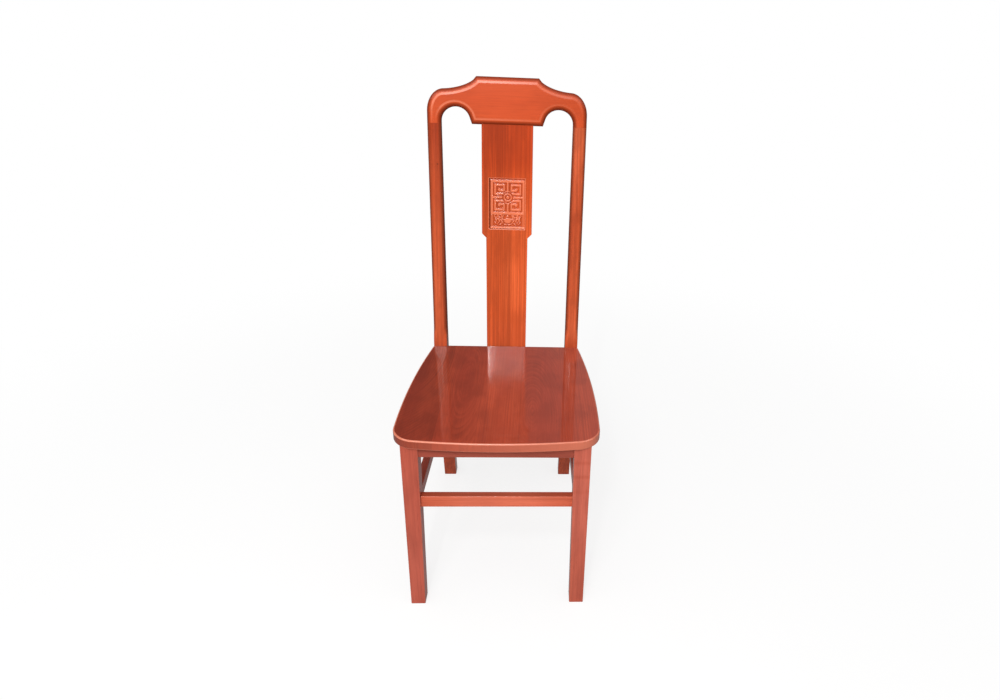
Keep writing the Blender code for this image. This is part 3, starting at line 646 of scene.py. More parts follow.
# The front apron's colours are darker than the frame's: painted shade from the seat above it.
apron_shaded_red = (0.300, 0.056, 0.035)
apron_shaded_brown = (0.365, 0.077, 0.047)
# The front stretcher's colours are lighter than the frame's: painted light.
stretcher_lit_red = (0.605, 0.118, 0.060)
stretcher_lit_brown = (0.690, 0.155, 0.081)
print("the right leg's stain is", round(leg_colours["right"][0][0] / frame_red[0], 2),
      "times as strong in red as the left leg's")

# %% Stain and grain of each piece
back_lean = math.radians(7.59)
# How the trunk lies in each piece: leaning with the back, across the chair, from front to back,
# and standing.
along_back = (back_lean, 0.0, 0.0)
along_width = (0.0, -math.pi / 2, 0.0)
along_seat = (math.pi / 2, 0.0, 0.0)
upright = (0.0, 0.0, 0.0)
# Where each piece lies in the trunk, as the offset of its origin from the pith.
crest_pith = (0.90, 0.30, 0.0)
splat_pith = (0.13, 0.02, 0.0)
post_piths = {"left": (0.35, 0.10, 0.0), "right": (0.05, 0.10, 0.0)}
leg_piths = {"left": (0.03, 0.05, 0.0), "right": (0.21, 0.05, 0.0)}
apron_pith = (0.02, 0.02, 0.0)
stretcher_pith = (0.02, 0.09, 0.0)
rear_pith = (0.02, 0.06, 0.0)
side_pith = (0.02, 0.05, 0.0)
# Height over the floor and level of the stain, from dark to full, as stops of a ramp.
splat_stain = ((0.0, 1.0), (0.60, 1.0), (0.78, 0.96), (0.86, 0.88), (0.92, 0.77), (1.0, 0.75))
# On the posts the low level below the seat is painted shade under it; the changes above it are stain.
post_stains_and_shade = {
    "left": ((0.0, 0.71), (0.42, 0.71), (0.50, 0.91), (0.75, 0.90), (0.88, 0.78), (1.0, 0.60)),
    "right": ((0.0, 0.71), (0.42, 0.71), (0.50, 1.0), (0.62, 0.89), (0.80, 0.77), (1.0, 0.94)),
}
# The right leg has three narrow dark marks across its upper half.
leg_stains = {
    "left": ((0.0, 1.0), (0.12, 1.0), (0.24, 0.95)),
    "right": ((0.0, 0.88), (0.12, 0.90), (0.24, 1.0), (0.307, 1.0), (0.315, 0.94), (0.323, 1.0),
              (0.347, 1.0), (0.354, 0.88), (0.361, 1.0), (0.383, 1.0), (0.390, 0.89), (0.397, 1.0)),
}
# Two places across the trunk, and the level at each: the splat's right edge is paler sapwood.
splat_sapwood = (0.138, 0.148, 0.93, 1.10)
# Two distances from the middle, and the level at each: the front stretcher is darker at its ends.
stretcher_ends = (0.05, 0.16, 1.04, 0.86)
post_knots = {"left": (-0.1670, 0.2256, 0.9084)}
# Each stave: where it starts across the seat, its tone, the pith's place across, the place along at
# which the saw met the pith's level, and the slope of the trunk there.
seat_staves = ((-0.5, 0.70, -0.270, 0.10, 0.50), (-0.1298, 0.88, -0.085, -0.02, 0.18),
               (-0.0433, 0.94, 0.160, 0.0, 0.05), (0.0433, 1.0, 0.070, -0.16, 0.26),
               (0.1298, 0.96, 0.300, 0.0, 0.05))
print("the seat is glued up from", len(seat_staves), "staves")

# %% Woods
wide_ring = 0.0052
frame_coat = 0.55

crest_wood = lacquered_wood("crest_wood", crest_red, crest_orange, along_width, crest_pith,
                            rings=0.03, streaks=0.05, pores=0.15, gloss=0.17, coat=0.42)
post_woods = {
    side: lacquered_wood(side + "_post_wood", post_red, post_orange, along_back, post_piths[side],
                         rings=0.24, streaks=0.52, clouds=post_clouds, stain=post_stains_and_shade[side],
                         knot=post_knots.get(side))
    for side in ("left", "right")}
splat_wood = lacquered_wood("splat_wood", splat_red, splat_orange, along_back, splat_pith,
                            ring=wide_ring, rings=0.30, streaks=0.62, clouds=splat_clouds, gloss=0.07,
                            stain=splat_stain, redden=(2.4, 4.2), sapwood=splat_sapwood)
seat_wood = glued_wood("seat_wood", seat_red, seat_brown, along_seat, wide_ring, seat_staves)
leg_woods = {
    side: lacquered_wood(side + "_leg_wood", *leg_colours[side], upright, leg_piths[side],
                         rings=0.10, streaks=0.18, clouds=leg_clouds, coat=frame_coat,
                         stain=leg_stains[side])
    for side in ("left", "right")}
apron_shaded_wood = lacquered_wood("apron_shaded_wood", apron_shaded_red, apron_shaded_brown, along_width, apron_pith,
                            coat=frame_coat)
stretcher_lit_wood = lacquered_wood("stretcher_lit_wood", stretcher_lit_red, stretcher_lit_brown, along_width,
                                stretcher_pith, coat=frame_coat, ends=stretcher_ends)
rear_wood = lacquered_wood("rail_wood", frame_red, frame_brown, along_width, rear_pith,
                           coat=frame_coat)
side_wood = lacquered_wood("side_rail_wood", frame_red, frame_brown, along_seat, side_pith,
                           coat=frame_coat)
woods = (crest_wood, *post_woods.values(), splat_wood, seat_wood, *leg_woods.values(), apron_shaded_wood,
         stretcher_lit_wood, rear_wood, side_wood)
print("woods:", ", ".join(wood.name for wood in woods))

# %% [markdown]
# ## Helpers for pieces
#
# Every piece is a closed mesh that stands exactly where its imported solid stands. One helper rounds
# edges and marks them pale, as rubbed or with a painted highlight, one keeps sharp only the edges
# that are sharp on the wood, and the last hangs the piece on the chair's body, hides the solid that
# it replaces and prints how well their boxes agree.
#
# Flat shading would show every facet of a round. Smooth shading alone would bend the reflections in
# the broad faces, because their corners would turn towards the rounds beside them. So the faces are
# smooth, and a Weighted Normal modifier lets the broad ones decide.

# %% Edges and rims
sharp_angle = math.radians(32)
edge_haze = 0.30
arris_segments = 3


def ease(share):
    """A share from 0 to 1, with a soft start and a soft stop."""
    return share * share * (3 - 2 * share)


def rim_layer(bm):
    """The layer of the attribute that tells the lacquer where it is rubbed, painted with a highlight or
    painted with shade.
    """
    return bm.loops.layers.float.get("rim") or bm.loops.layers.float.new("rim")


def mark_rim(bm, faces, value):
    """Give the corners of these faces a rim value."""
    layer = rim_layer(bm)
    for face in faces:
        for corner in face.loops:
            corner[layer] = value


def round_edges(bm, edges, radius, segments=arris_segments, paleness=edge_haze):
    """Round some edges and mark the new faces pale: rubbed, or on the seat with a painted highlight."""
    made = bmesh.ops.bevel(bm, geom=edges, offset=radius, segments=segments, profile=0.5,
                           affect="EDGES", clamp_overlap=True, material=-1)
    mark_rim(bm, made["faces"], paleness)


def sharpen(bm, smooth_faces=()):
    """Mark the edges that turn by more than the sharp angle, but not those of the smooth faces."""
    skip = set(smooth_faces)
    for edge in bm.edges:
        if len(edge.link_faces) == 2 and not any(face in skip for face in edge.link_faces):
            if edge.calc_face_angle() > sharp_angle:
                edge.smooth = False


print("edges over", round(math.degrees(sharp_angle)), "degrees stay sharp")


# %% Finished pieces
def box_gap(item, node):
    """Largest distance, in millimetres, between the boxes of a piece and of its solid."""
    low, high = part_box(node)
    corners = [item.matrix_world @ Vector(corner) for corner in item.bound_box]
    gaps = []
    for axis in range(3):
        values = [corner[axis] for corner in corners]
        gaps.append(abs(min(values) - low[axis]))
        gaps.append(abs(max(values) - high[axis]))
    return max(gaps) * 1000


def add_piece(name, bm, material, slot, *nodes):
    """A finished piece of the chair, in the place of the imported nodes."""
    for face in bm.faces:
        face.smooth = True
    closed = all(len(edge.link_faces) == 2 for edge in bm.edges)
    mesh = bpy.data.meshes.new(name)
    bm.to_mesh(mesh)
    bm.free()
    mesh.materials.append(material)
    item = bpy.data.objects.new(name, mesh)
    bpy.context.scene.collection.objects.link(item)
    calm = item.modifiers.new("calm flats", "WEIGHTED_NORMAL")
    calm.keep_sharp = True
    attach(item, "root")
    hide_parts(*nodes)
    print(name, len(mesh.polygons), "faces, closed" if closed else "faces, OPEN",
          "box off by", round(box_gap(item, nodes[0]), 2), "mm")
    return item


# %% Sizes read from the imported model
seat_low, seat_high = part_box("seat_board")
leg_low, leg_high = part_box("front_leg_right")
post_low, post_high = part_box("rear_post_right")
clearance = 0.0003
hair = clearance / 3
seat_top = seat_high.z
seat_thickness = seat_high.z - seat_low.z
post_front = post_low.y
post_top_half_width = post_high.x
# The back's own frame: X across, Y up along the back from the seat's top, Z out of its front.
back_frame = (
    Matrix.Translation((0, post_front, seat_top))
    @ Matrix.Rotation(math.pi / 2 - back_lean, 4, "X")
)
print("seat top", round(seat_top, 4), "post front", round(post_front, 4))

# %% [markdown]
# ## The crest rail
#
# The crest is one board, sawn to a yoke: a raised head, a cove on each side, a round shoulder, an
# arm that ends on each post, and a small arch under each arm. A router then runs round it and
# leaves a moulded border: a rounding, and inside it a narrow, gently sloping band that catches the
# light in one line. That line is also painted on the band as a highlight, and the rounding and the
# outer walls are painted with shade.
#
# The board could be a bevelled plate, but Bevel only makes a plain round. Repeated insets of the
# front face, each one a little narrower and higher, cut any moulding, and they mitre the corners as
# the router does. The arms start too long, so that the border runs straight through the joints, and
# are then sawn off at the joint line.

# %% Crest outline
joint_length = 0.558
crest_height = 0.109
head_half_width = 0.0738
head_drop = 0.014
head_flare = 0.007
shoulder_half_width = 0.1498
shoulder_height = 0.0790
shoulder_pull = 0.0366
shoulder_rise = 0.0025
shoulder_spring = 0.0270
arm_inner = 0.1573
arm_spare = 0.030
arch_half_width = 0.0343
arch_crown_height = 0.0390
arch_spring = 0.0060
arch_end = math.radians(160)
chin_half_width = 0.0847
cove_steps = 20
shoulder_steps = 18
arch_steps = 24
# The cove's first points lie too close to the head's corner for the insets of the border.
cove_skipped = 3


def arc(middle, radii, start, end, steps):
    """Points on an elliptical arc, both ends included."""
    points = []
    for step in range(steps + 1):
        angle = start + (end - start) * step / steps
        points.append((middle[0] + radii[0] * math.cos(angle), middle[1] + radii[1] * math.sin(angle)))
    return points


def cubic(points, steps):
    """Points on a cubic curve through its first and last point."""
    found = []
    for step in range(steps + 1):
        t = step / steps
        weights = ((1 - t) ** 3, 3 * t * (1 - t) ** 2, 3 * t ** 2 * (1 - t), t ** 3)
        found.append(tuple(sum(w * p[axis] for w, p in zip(weights, points)) for axis in (0, 1)))
    return found


def mirrored(half):
    """A closed outline from its right half."""
    return half + [(-x, y) for x, y in reversed(half)]


def crest_outline():
    """Head, cove, shoulder, overlong arm, arch and chin of the crest."""
    arch_middle = arm_inner - arch_half_width
    cove = cubic((
        (head_half_width, crest_height),
        (head_half_width + head_flare, crest_height - head_drop),
        (shoulder_half_width - shoulder_pull, shoulder_height + shoulder_rise),
        (shoulder_half_width, shoulder_height)), cove_steps)
    half = cove[:1] + cove[1 + cove_skipped:]
    half += arc((shoulder_half_width, shoulder_spring),
                (post_top_half_width - shoulder_half_width, shoulder_height - shoulder_spring),
                math.pi / 2, 0, shoulder_steps)[1:]
    half += [(post_top_half_width, -arm_spare), (arm_inner, -arm_spare)]
    half += arc((arch_middle, arch_spring), (arch_half_width, arch_crown_height - arch_spring),
                0, arch_end, arch_steps)
    half.append((chin_half_width, 0.0))
    return mirrored(half)


print("crest outline points:", len(crest_outline()))

# %% Crest border
border_round_width = 0.0135
border_round_depth = 0.0090
band_width = 0.0050
band_slope = math.radians(10)
back_round = 0.0060
crest_thickness = 0.026
border_steps = 9
back_steps = 6
# The break between rounding and band, and the band's inner line, stay crisp.
crisp_lines = 2


def border_profile():
    """Widths and heights of the border, from the outer wall to the flat field."""
    flat_turn = math.atan2(border_round_depth, border_round_width * math.tan(band_slope))
    points = []
    for step in range(border_steps + 1):
        turn = flat_turn * step / border_steps
        points.append((border_round_width * (1 - math.cos(turn)), border_round_depth * math.sin(turn)))
    width, height = points[-1]
    points.append((width + band_width, height + band_width * math.tan(band_slope)))
    return points


def quarter_profile(radius):
    """Widths and heights of a plain quarter round."""
    turns = [math.pi / 2 * step / back_steps for step in range(back_steps + 1)]
    return [(radius * (1 - math.cos(turn)), radius * math.sin(turn)) for turn in turns]


border = border_profile()
border_width, border_depth = border[-1]
print("border is", round(border_width * 1000, 2), "mm wide and", round(border_depth * 1000, 2), "mm deep")

# %% Tone of the border
# The border's share from the outer wall to the field, and the rim value there: painted shade on the
# rounding, and a painted highlight line on the band. The posts have the painted shade only.
crest_edge_shade_and_highlight = ((0.0, -1.0), (0.10, -0.90), (0.40, -0.64), (0.60, -0.25), (0.70, 0.56), (1.0, 0.60))
post_edge_shade = ((0.0, -1.0), (0.15, -0.90), (0.35, -0.45), (0.60, 0.0))
# The painted highlight line loses this share of itself from the middle to the right end, and gains
# it to the left. On the arms it fades away over this height down to the joints.
highlight_slope = 0.55
highlight_fade = 0.045


def edge_tone(share, table):
    """Rim value at a share of the way from the outer wall to the field."""
    places, values = zip(*table)
    return float(np.interp(share, places, values))


def highlight_share(spot):
    """How much of the painted highlight line shows: less on the right, and none at the ends of the arms.
    """
    side = 1 - highlight_slope * spot.x / post_top_half_width
    end = min(1.0, max(0.0, spot.y / highlight_fade)) if abs(spot.x) > arm_inner else 1.0
    return side * end


print("rim from", crest_edge_shade_and_highlight[0][1], "at the wall to", crest_edge_shade_and_highlight[-1][1], "at the field")


# %% Cut the crest
def slab(outline, low, high):
    """A flat board with this outline in X and Y, from the low to the high level."""
    bm = bmesh.new()
    face = bm.faces.new([bm.verts.new((x, y, low)) for x, y in outline])
    grown = bmesh.ops.extrude_face_region(bm, geom=[face])["geom"]
    lifted = [item for item in grown if isinstance(item, bmesh.types.BMVert)]
    bmesh.ops.translate(bm, verts=lifted, vec=(0, 0, high - low))
    bmesh.ops.recalc_face_normals(bm, faces=bm.faces)
    return bm


def end_face(bm, sense):
    """The broad face that looks up or down."""
    return max(bm.faces, key=lambda face: face.normal.z * sense * face.calc_area())


def mould(bm, face, profile, crisp=0):
    """Inset a face step by step along a profile; its last lines can stay crisp."""
    layer = rim_layer(bm)
    for step, (near, far) in enumerate(zip(profile, profile[1:])):
        outer = set(face.verts)
        made = bmesh.ops.inset_region(bm, faces=[face], thickness=far[0] - near[0],
                                      depth=far[1] - near[1], use_even_offset=True,
                                      use_boundary=True)["faces"]
        for corner in [corner for side in made for corner in side.loops]:
            run = near[0] if corner.vert in outer else far[0]
            # Painted shade on the rounding and a painted highlight on the band, from the border's table.
            value = edge_tone(run / profile[-1][0], crest_edge_shade_and_highlight)
            corner[layer] = value * highlight_share(corner.vert.co) if value > 0 else value
        if step >= len(profile) - 1 - crisp:
            for edge in face.edges:
                edge.smooth = False


def saw_off(bm, point, normal):
    """Cut off what lies behind a plane and close the cut."""
    everything = bm.verts[:] + bm.edges[:] + bm.faces[:]
    cut = bmesh.ops.bisect_plane(bm, geom=everything, plane_co=point, plane_no=normal,
                                 clear_inner=True)
    rim = [item for item in cut["geom_cut"] if isinstance(item, bmesh.types.BMEdge)]
    bmesh.ops.holes_fill(bm, edges=rim)


def make_crest():
    """The crest rail with its moulded border."""
    bm = slab(crest_outline(), back_round - crest_thickness, -border_depth)
    mould(bm, end_face(bm, 1), border, crisp_lines)
    mould(bm, end_face(bm, -1), quarter_profile(back_round))
    # The outer walls get the border's full painted shade.
    mark_rim(bm, [face for face in bm.faces if abs(face.normal.z) < hair], crest_edge_shade_and_highlight[0][1])
    saw_off(bm, (0, -hair, 0), (0, 1, 0))
    bmesh.ops.recalc_face_normals(bm, faces=bm.faces)
    sharpen(bm)
    bm.transform(back_frame @ Matrix.Translation((0, joint_length, 0)))
    return add_piece("yoke_crest", bm, crest_wood, "crest_lacquer", "crest_rail")


make_crest()

# %% [markdown]
# ## The back posts
#
# Each post is sawn from one plank: raked below the seat, bent to upright at the seat frame, and
# leaning back above it. Below the seat its edges are only eased; above it the front rounds up into
# the crest's border, so that one moulding runs right round the back.
#
# A bevelled bar could not change its rounding on the way. The post is a loft: a ring of points for
# each height, bridged to the next ring.

# %% Post sections
post_width = 0.033
post_foot_half_width = 0.183
post_foot_depth = 0.033
post_seat_depth = 0.037
post_foot_rake = 0.0613
post_bend_low = 0.300
post_bend_high = 0.385
post_arris = 0.0020
corner_steps = 6
joint_height = seat_top + joint_length * math.cos(back_lean)
post_splay = (post_top_half_width - post_foot_half_width) / joint_height
post_slope = post_foot_rake / ((post_bend_low + post_bend_high) / 2)


def post_half_width(height):
    """Half the width over both posts at a height."""
    return post_foot_half_width + post_splay * height


def post_front_below_seat(height):
    """Front of a post below the seat: raked, then bent to upright."""
    if height >= post_bend_high:
        return post_front
    bend = post_bend_high - post_bend_low
    if height >= post_bend_low:
        return post_front + post_slope * (post_bend_high - height) ** 2 / (2 * bend)
    return post_front + post_slope * (bend / 2 + post_bend_low - height)


def section_outline(depth, rounding):
    """Outline of a post across its length: X across, Y from the front backwards, and painted shade as a
    rim value.
    """
    half = post_width / 2
    front = [(w / border_width, h / border_depth) for w, h in border]
    width = post_arris + (border_width - post_arris) * rounding
    height = post_arris + (border_depth - post_arris) * rounding
    radius = post_arris + (back_round - post_arris) * rounding
    back = arc((half - radius, depth - radius), (radius, radius), 0, math.pi / 2, corner_steps)
    # The rim values paint shade on the rounded edges, as much as the rounding has grown.
    right = [(half - w * width, (1 - h) * height, edge_tone(w, post_edge_shade)) for w, h in reversed(front)]
    right += [(x, y, edge_tone((half - x) / radius, post_edge_shade)) for x, y in back]
    right = [(x, y, tone * rounding) for x, y, tone in right]
    return right + [(-x, y, tone) for x, y, tone in reversed(right)]


print("points round a post:", len(section_outline(post_seat_depth, 1.0)))

# %% Loft the posts
# Lengths above the seat between which the arris grows to the full border.
round_start = 0.012
round_full = 0.055
bend_steps = 12
rounding_steps = 8
upright_steps = 10


def post_places():
    """Height, lean, depth and rounding of each section, from the foot to the joint."""
    places = [(0.0, False, post_foot_depth, 0.0)]
    for step in range(bend_steps + 1):
        height = post_bend_low + (post_bend_high - post_bend_low) * step / bend_steps
        depth = post_foot_depth + (post_seat_depth - post_foot_depth) * height / post_bend_high
        places.append((height, False, depth, 0.0))
    lengths = [0.0, round_start]
    lengths += [round_start + (round_full - round_start) * step / rounding_steps
                for step in range(1, rounding_steps + 1)]
    lengths += [round_full + (joint_length - hair - round_full) * step / upright_steps
                for step in range(1, upright_steps + 1)]
    for length in lengths:
        share = min(max((length - round_start) / (round_full - round_start), 0.0), 1.0)
        depth = post_seat_depth + (crest_thickness - post_seat_depth) * length / joint_length
        places.append((length, True, depth, ease(share)))
    return places


def add_ring(bm, points):
    """A closed ring: its points and its edges."""
    verts = [bm.verts.new(point) for point in points]
    return verts, [bm.edges.new((verts[step - 1], verts[step])) for step in range(len(verts))]


def make_post(name, node, side, material):
    """A back post, bridged from ring to ring."""
    bm = bmesh.new()
    layer = rim_layer(bm)
    rings = []
    tones = {}
    for reach, leaning, depth, rounding in post_places():
        tilt = back_lean if leaning else 0.0
        height = seat_top + reach * math.cos(tilt) if leaning else reach
        front = post_front + reach * math.sin(tilt) if leaning else post_front_below_seat(reach)
        middle_x = post_half_width(height) - post_width / 2
        outline = section_outline(depth, rounding)
        points = [(side * (middle_x + x), front + y * math.cos(tilt), height - y * math.sin(tilt))
                  for x, y, tone in outline]
        verts, edges = add_ring(bm, points)
        rings.append(edges)
        tones.update(zip(verts, [tone for x, y, tone in outline]))
    for lower, upper in zip(rings, rings[1:]):
        bmesh.ops.bridge_loops(bm, edges=lower + upper)
    for corner in [corner for face in bm.faces for corner in face.loops]:
        corner[layer] = tones[corner.vert]
    bmesh.ops.holes_fill(bm, edges=rings[0])
    bmesh.ops.holes_fill(bm, edges=rings[-1])
    bmesh.ops.recalc_face_normals(bm, faces=bm.faces)
    sharpen(bm)
    return add_piece(name, bm, material, "back_lacquer", node)


for side, word in ((-1, "left"), (1, "right")):
    make_post("back_post_" + word, "rear_post_" + word, side, post_woods[word])

# %% [markdown]
# ## The back splat and its carving
#
# The splat is a board, wide above and stepped in low down, with a shallow carved panel: a fret of
# four square scrolls round a small medallion, and under it a bowl between two leafy curls. It is a
# traditional pattern, cut by machine to about 2 mm and softened by sanding and lacquer.
#
# The splat's top is housed a few millimetres in the crest, and its foot stands behind the seat on
# the rear apron.
#
# Booleans would leave knife-sharp bars. The panel's floor is instead one face, subdivided into a
# fine grid, and each grid point is raised by its distance from the drawn lines. That gives the
# bars their rounded shoulders, and the same height says where to paint shade in the hollows and
# highlights on the bars.

# %% Splat sizes
# Lengths up the back start at the seat's top.
splat_setback = 0.006
splat_thickness = 0.014
splat_upper_half_width = 0.0618
splat_step_half_width = 0.0514
splat_foot_half_width = 0.0500
splat_step_low = 0.2855
splat_step_high = 0.2960
splat_arris = 0.0010
splat_housing = 0.0030
panel_width = 0.0910
panel_height = 0.1270
panel_middle = 0.3703
panel_depth = 0.0030
panel_lip = 0.0009
wall_run = 0.0018
print("panel", panel_width * 1000, "by", panel_height * 1000, "mm")

# %% Distances
bar_height = 0.0017
bar_shoulder = 0.0017


def distance_to_line(x, y, start, end):
    """Distance of many points from one straight line."""
    run_x, run_y = end[0] - start[0], end[1] - start[1]
    share = ((x - start[0]) * run_x + (y - start[1]) * run_y) / (run_x ** 2 + run_y ** 2)
    share = np.clip(share, 0.0, 1.0)
    return np.hypot(x - start[0] - share * run_x, y - start[1] - share * run_y)


def distance_to_path(x, y, path):
    """Distance of many points from a bent line."""
    return np.minimum.reduce([distance_to_line(x, y, a, b) for a, b in zip(path, path[1:])])


def raised(distance, half_width, shoulder=bar_shoulder):
    """1 on top of a bar, 0 beside it, with a rounded shoulder between."""
    return ease(np.clip((half_width + shoulder / 2 - distance) / shoulder, 0.0, 1.0))


print("bars stand", bar_height * 1000, "mm over the floor")

# %% Fret
# Places of the carving are from the middle of the fret.
fret_middle = 0.3860
fret_shift = 0.0016
fret_reach = (0.0389, 0.0391)
scroll_lines = ((-0.0013, 0.0140), (-0.0080, 0.0090), (-0.0308, 0.0080), (-0.0308, 0.0299),
                (-0.0091, 0.0299), (-0.0091, 0.0167), (-0.0200, 0.0167), (-0.0208, 0.0187))
scroll_knob = (-0.0208, 0.0190)
scroll_knob_radius = 0.0036
bar_width = 0.0050
frame_bar_width = 0.0064
ring_outer = 0.0107
ring_inner = 0.0068
button_radius = 0.0040


def fret_heights(x, y, spread):
    """Frame, cross and four scrolls of the fret, as shares of the full height."""
    half_x, half_y = fret_reach
    half_bar = bar_width / 2 + spread
    frame_gap = np.maximum(np.abs(x) - half_x, np.abs(y) - half_y)
    top = raised(np.abs(frame_gap), frame_bar_width / 2 + spread)
    cross = np.minimum(np.abs(x), np.abs(y))
    top = np.maximum(top, raised(cross, half_bar) * (frame_gap < 0))
    # The four scrolls are one, drawn in the upper left quarter and mirrored.
    mirrored_x = -np.abs(x)
    mirrored_y = np.abs(y)
    scroll = distance_to_path(mirrored_x, mirrored_y, scroll_lines)
    knob = np.hypot(mirrored_x - scroll_knob[0], mirrored_y - scroll_knob[1])
    top = np.maximum(top, raised(scroll, half_bar))
    return np.maximum(top, raised(knob, scroll_knob_radius + spread))


def medallion_heights(x, y, below, spread):
    """A ring and a button over what lies below, cut free of it by a groove."""
    reach = np.hypot(x, y)
    groove = ring_outer + bar_width / 2 - spread
    top = below * (1 - raised(reach, groove))
    middle, half = (ring_outer + ring_inner) / 2, (ring_outer - ring_inner) / 2 + spread
    top = np.maximum(top, raised(np.abs(reach - middle), half))
    return np.maximum(top, raised(reach, button_radius + spread))


print("each scroll of the fret has", len(scroll_lines) - 1, "straight bars")

# %% Bowl, curls and leaves
bowl_place = (0.0, -0.0570)
bowl_radii = (0.0090, 0.0066)
bud_place = (0.0, -0.0465)
bud_radius = 0.0028
curl_places = ((0.0287, -0.0455), (0.0190, -0.0455))
curl_radius = 0.0042
curl_width = 0.0026
eye_radius = 0.0008
# A leaf has a middle, two radii and a turn in degrees.
leaves = (((0.0118, -0.0470), (0.0019, 0.0050), 25), ((0.0135, -0.0600), (0.0018, 0.0062), -32),
          ((0.0208, -0.0565), (0.0021, 0.0060), -24), ((0.0285, -0.0565), (0.0018, 0.0050), -14),
          ((0.0052, -0.0668), (0.0014, 0.0050), -80), ((0.0125, -0.0540), (0.0022, 0.0036), -60),
          ((0.0245, -0.0525), (0.0018, 0.0036), 40), ((0.0175, -0.0660), (0.0015, 0.0042), 60),
          ((0.0300, -0.0635), (0.0014, 0.0034), -40), ((0.0240, -0.0640), (0.0012, 0.0034), 15))
# Under the fret the frame's sides stand lower than its bars, and the bead at their foot higher.
frame_foot = -0.0742
foot_bead_width = 0.0042
low_frame_share = 0.75
foot_bead_share = 1.25


def ellipse_gap(x, y, middle, radii, degrees=0):
    """Distance of many points outside a turned ellipse, negative inside it."""
    turn = math.radians(degrees)
    across = (x - middle[0]) * math.cos(turn) + (y - middle[1]) * math.sin(turn)
    along = (y - middle[1]) * math.cos(turn) - (x - middle[0]) * math.sin(turn)
    return (np.hypot(across / radii[0], along / radii[1]) - 1) * min(radii)


def posy_heights(x, y, spread):
    """The bowl with its bud, curls and leaves under the fret."""
    side = np.abs(x)
    half = curl_width / 2 + spread
    top = raised(ellipse_gap(x, y, bowl_place, bowl_radii), spread)
    top = np.maximum(top, raised(np.hypot(x, y - bud_place[1]), bud_radius + spread))
    for place in curl_places:
        curl = np.hypot(side - place[0], y - place[1])
        top = np.maximum(top, raised(np.abs(curl - curl_radius), half))
        top = np.maximum(top, raised(curl, eye_radius + spread))
    for middle, radii, degrees in leaves:
        top = np.maximum(top, raised(ellipse_gap(side, y, middle, radii, degrees), spread))
    return top


def frame_foot_heights(x, y, spread):
    """The frame's two sides, which run on down to a bead under the bowl."""
    half_x, half_y = fret_reach
    below = (y < 0) & (y > frame_foot)
    sides = raised(np.abs(np.abs(x) - half_x), frame_bar_width / 2 + spread) * below * low_frame_share
    across = np.abs(x) < half_x + frame_bar_width / 2
    bead = raised(np.abs(y - frame_foot), foot_bead_width / 2 + spread) * across * foot_bead_share
    return np.maximum(sides, bead)


def carving_heights(x, y, spread=0.0):
    """Height of the carving over the panel's floor, from 0 to 1."""
    top = fret_heights(x, y, spread)
    top = medallion_heights(x, y, top, spread)
    top = np.maximum(top, posy_heights(x, y, spread))
    return np.maximum(top, frame_foot_heights(x, y, spread))


print("leaves on each side of the bowl:", len(leaves))

# %% Sink the panel
# The lip round the panel gets a painted highlight.
lip_highlight = 1.0
# Painted shade lies faint on the upper wall and deep on the lower and the left one.
upper_wall_shade = -0.20
lower_wall_shade = -0.60
left_wall_shade = -1.0


def split_at(bm, faces, point, normal):
    """Cut some faces along a plane and return all the pieces of them."""
    edges = {edge for face in faces for edge in face.edges}
    verts = {vert for face in faces for vert in face.verts}
    geometry = list(faces) + list(edges) + list(verts)
    cut = bmesh.ops.bisect_plane(bm, geom=geometry, plane_co=point, plane_no=normal)
    return [item for item in cut["geom"] if isinstance(item, bmesh.types.BMFace)]


def wall_shade_value(away):
    """Painted shade of a panel wall as a rim value, told by its place from the panel's middle."""
    if abs(away.x) < abs(away.y):
        return upper_wall_shade if away.y > 0 else lower_wall_shade
    return left_wall_shade if away.x < 0 else 0.0


def sink_panel(bm):
    """Cut the panel's rectangle out of the front and sink it; returns the floor face."""
    front = [end_face(bm, 1)]
    for sign in (-1, 1):
        front = split_at(bm, front, (sign * panel_width / 2, 0, 0), (1, 0, 0))
        front = split_at(bm, front, (0, panel_middle + sign * panel_height / 2, 0), (0, 1, 0))
    middle = Vector((0, panel_middle, -splat_setback))
    floor = min(front, key=lambda face: (face.calc_center_median() - middle).length)
    lip = bmesh.ops.inset_region(bm, faces=[floor], thickness=panel_lip, depth=-panel_lip / 2,
                                 use_even_offset=True)["faces"]
    mark_rim(bm, lip, lip_highlight)
    wall = bmesh.ops.inset_region(bm, faces=[floor], thickness=wall_run,
                                  depth=panel_lip / 2 - panel_depth, use_even_offset=True)["faces"]
    for side in wall:
        mark_rim(bm, [side], wall_shade_value(side.calc_center_median() - Vector((0, panel_middle, 0))))
    return floor


print("panel to be sunk by", panel_depth * 1000, "mm")

# %% Cut the splat
grid_cuts = 199
# Rim values on the carving: a faint paleness on the floor, a painted highlight this much stronger on
# the bars, painted shade in the hollows close to a bar, and painted shade to the left of the frame.
floor_paleness = 0.16
top_highlight = 0.42
hollow_shade = 0.54
hollow_spread = 0.0022
wall_shade = 0.60
shade_run = 0.0010
# The grid's faces look forwards at least this much, and the other new faces don't.
level_normal = 0.9


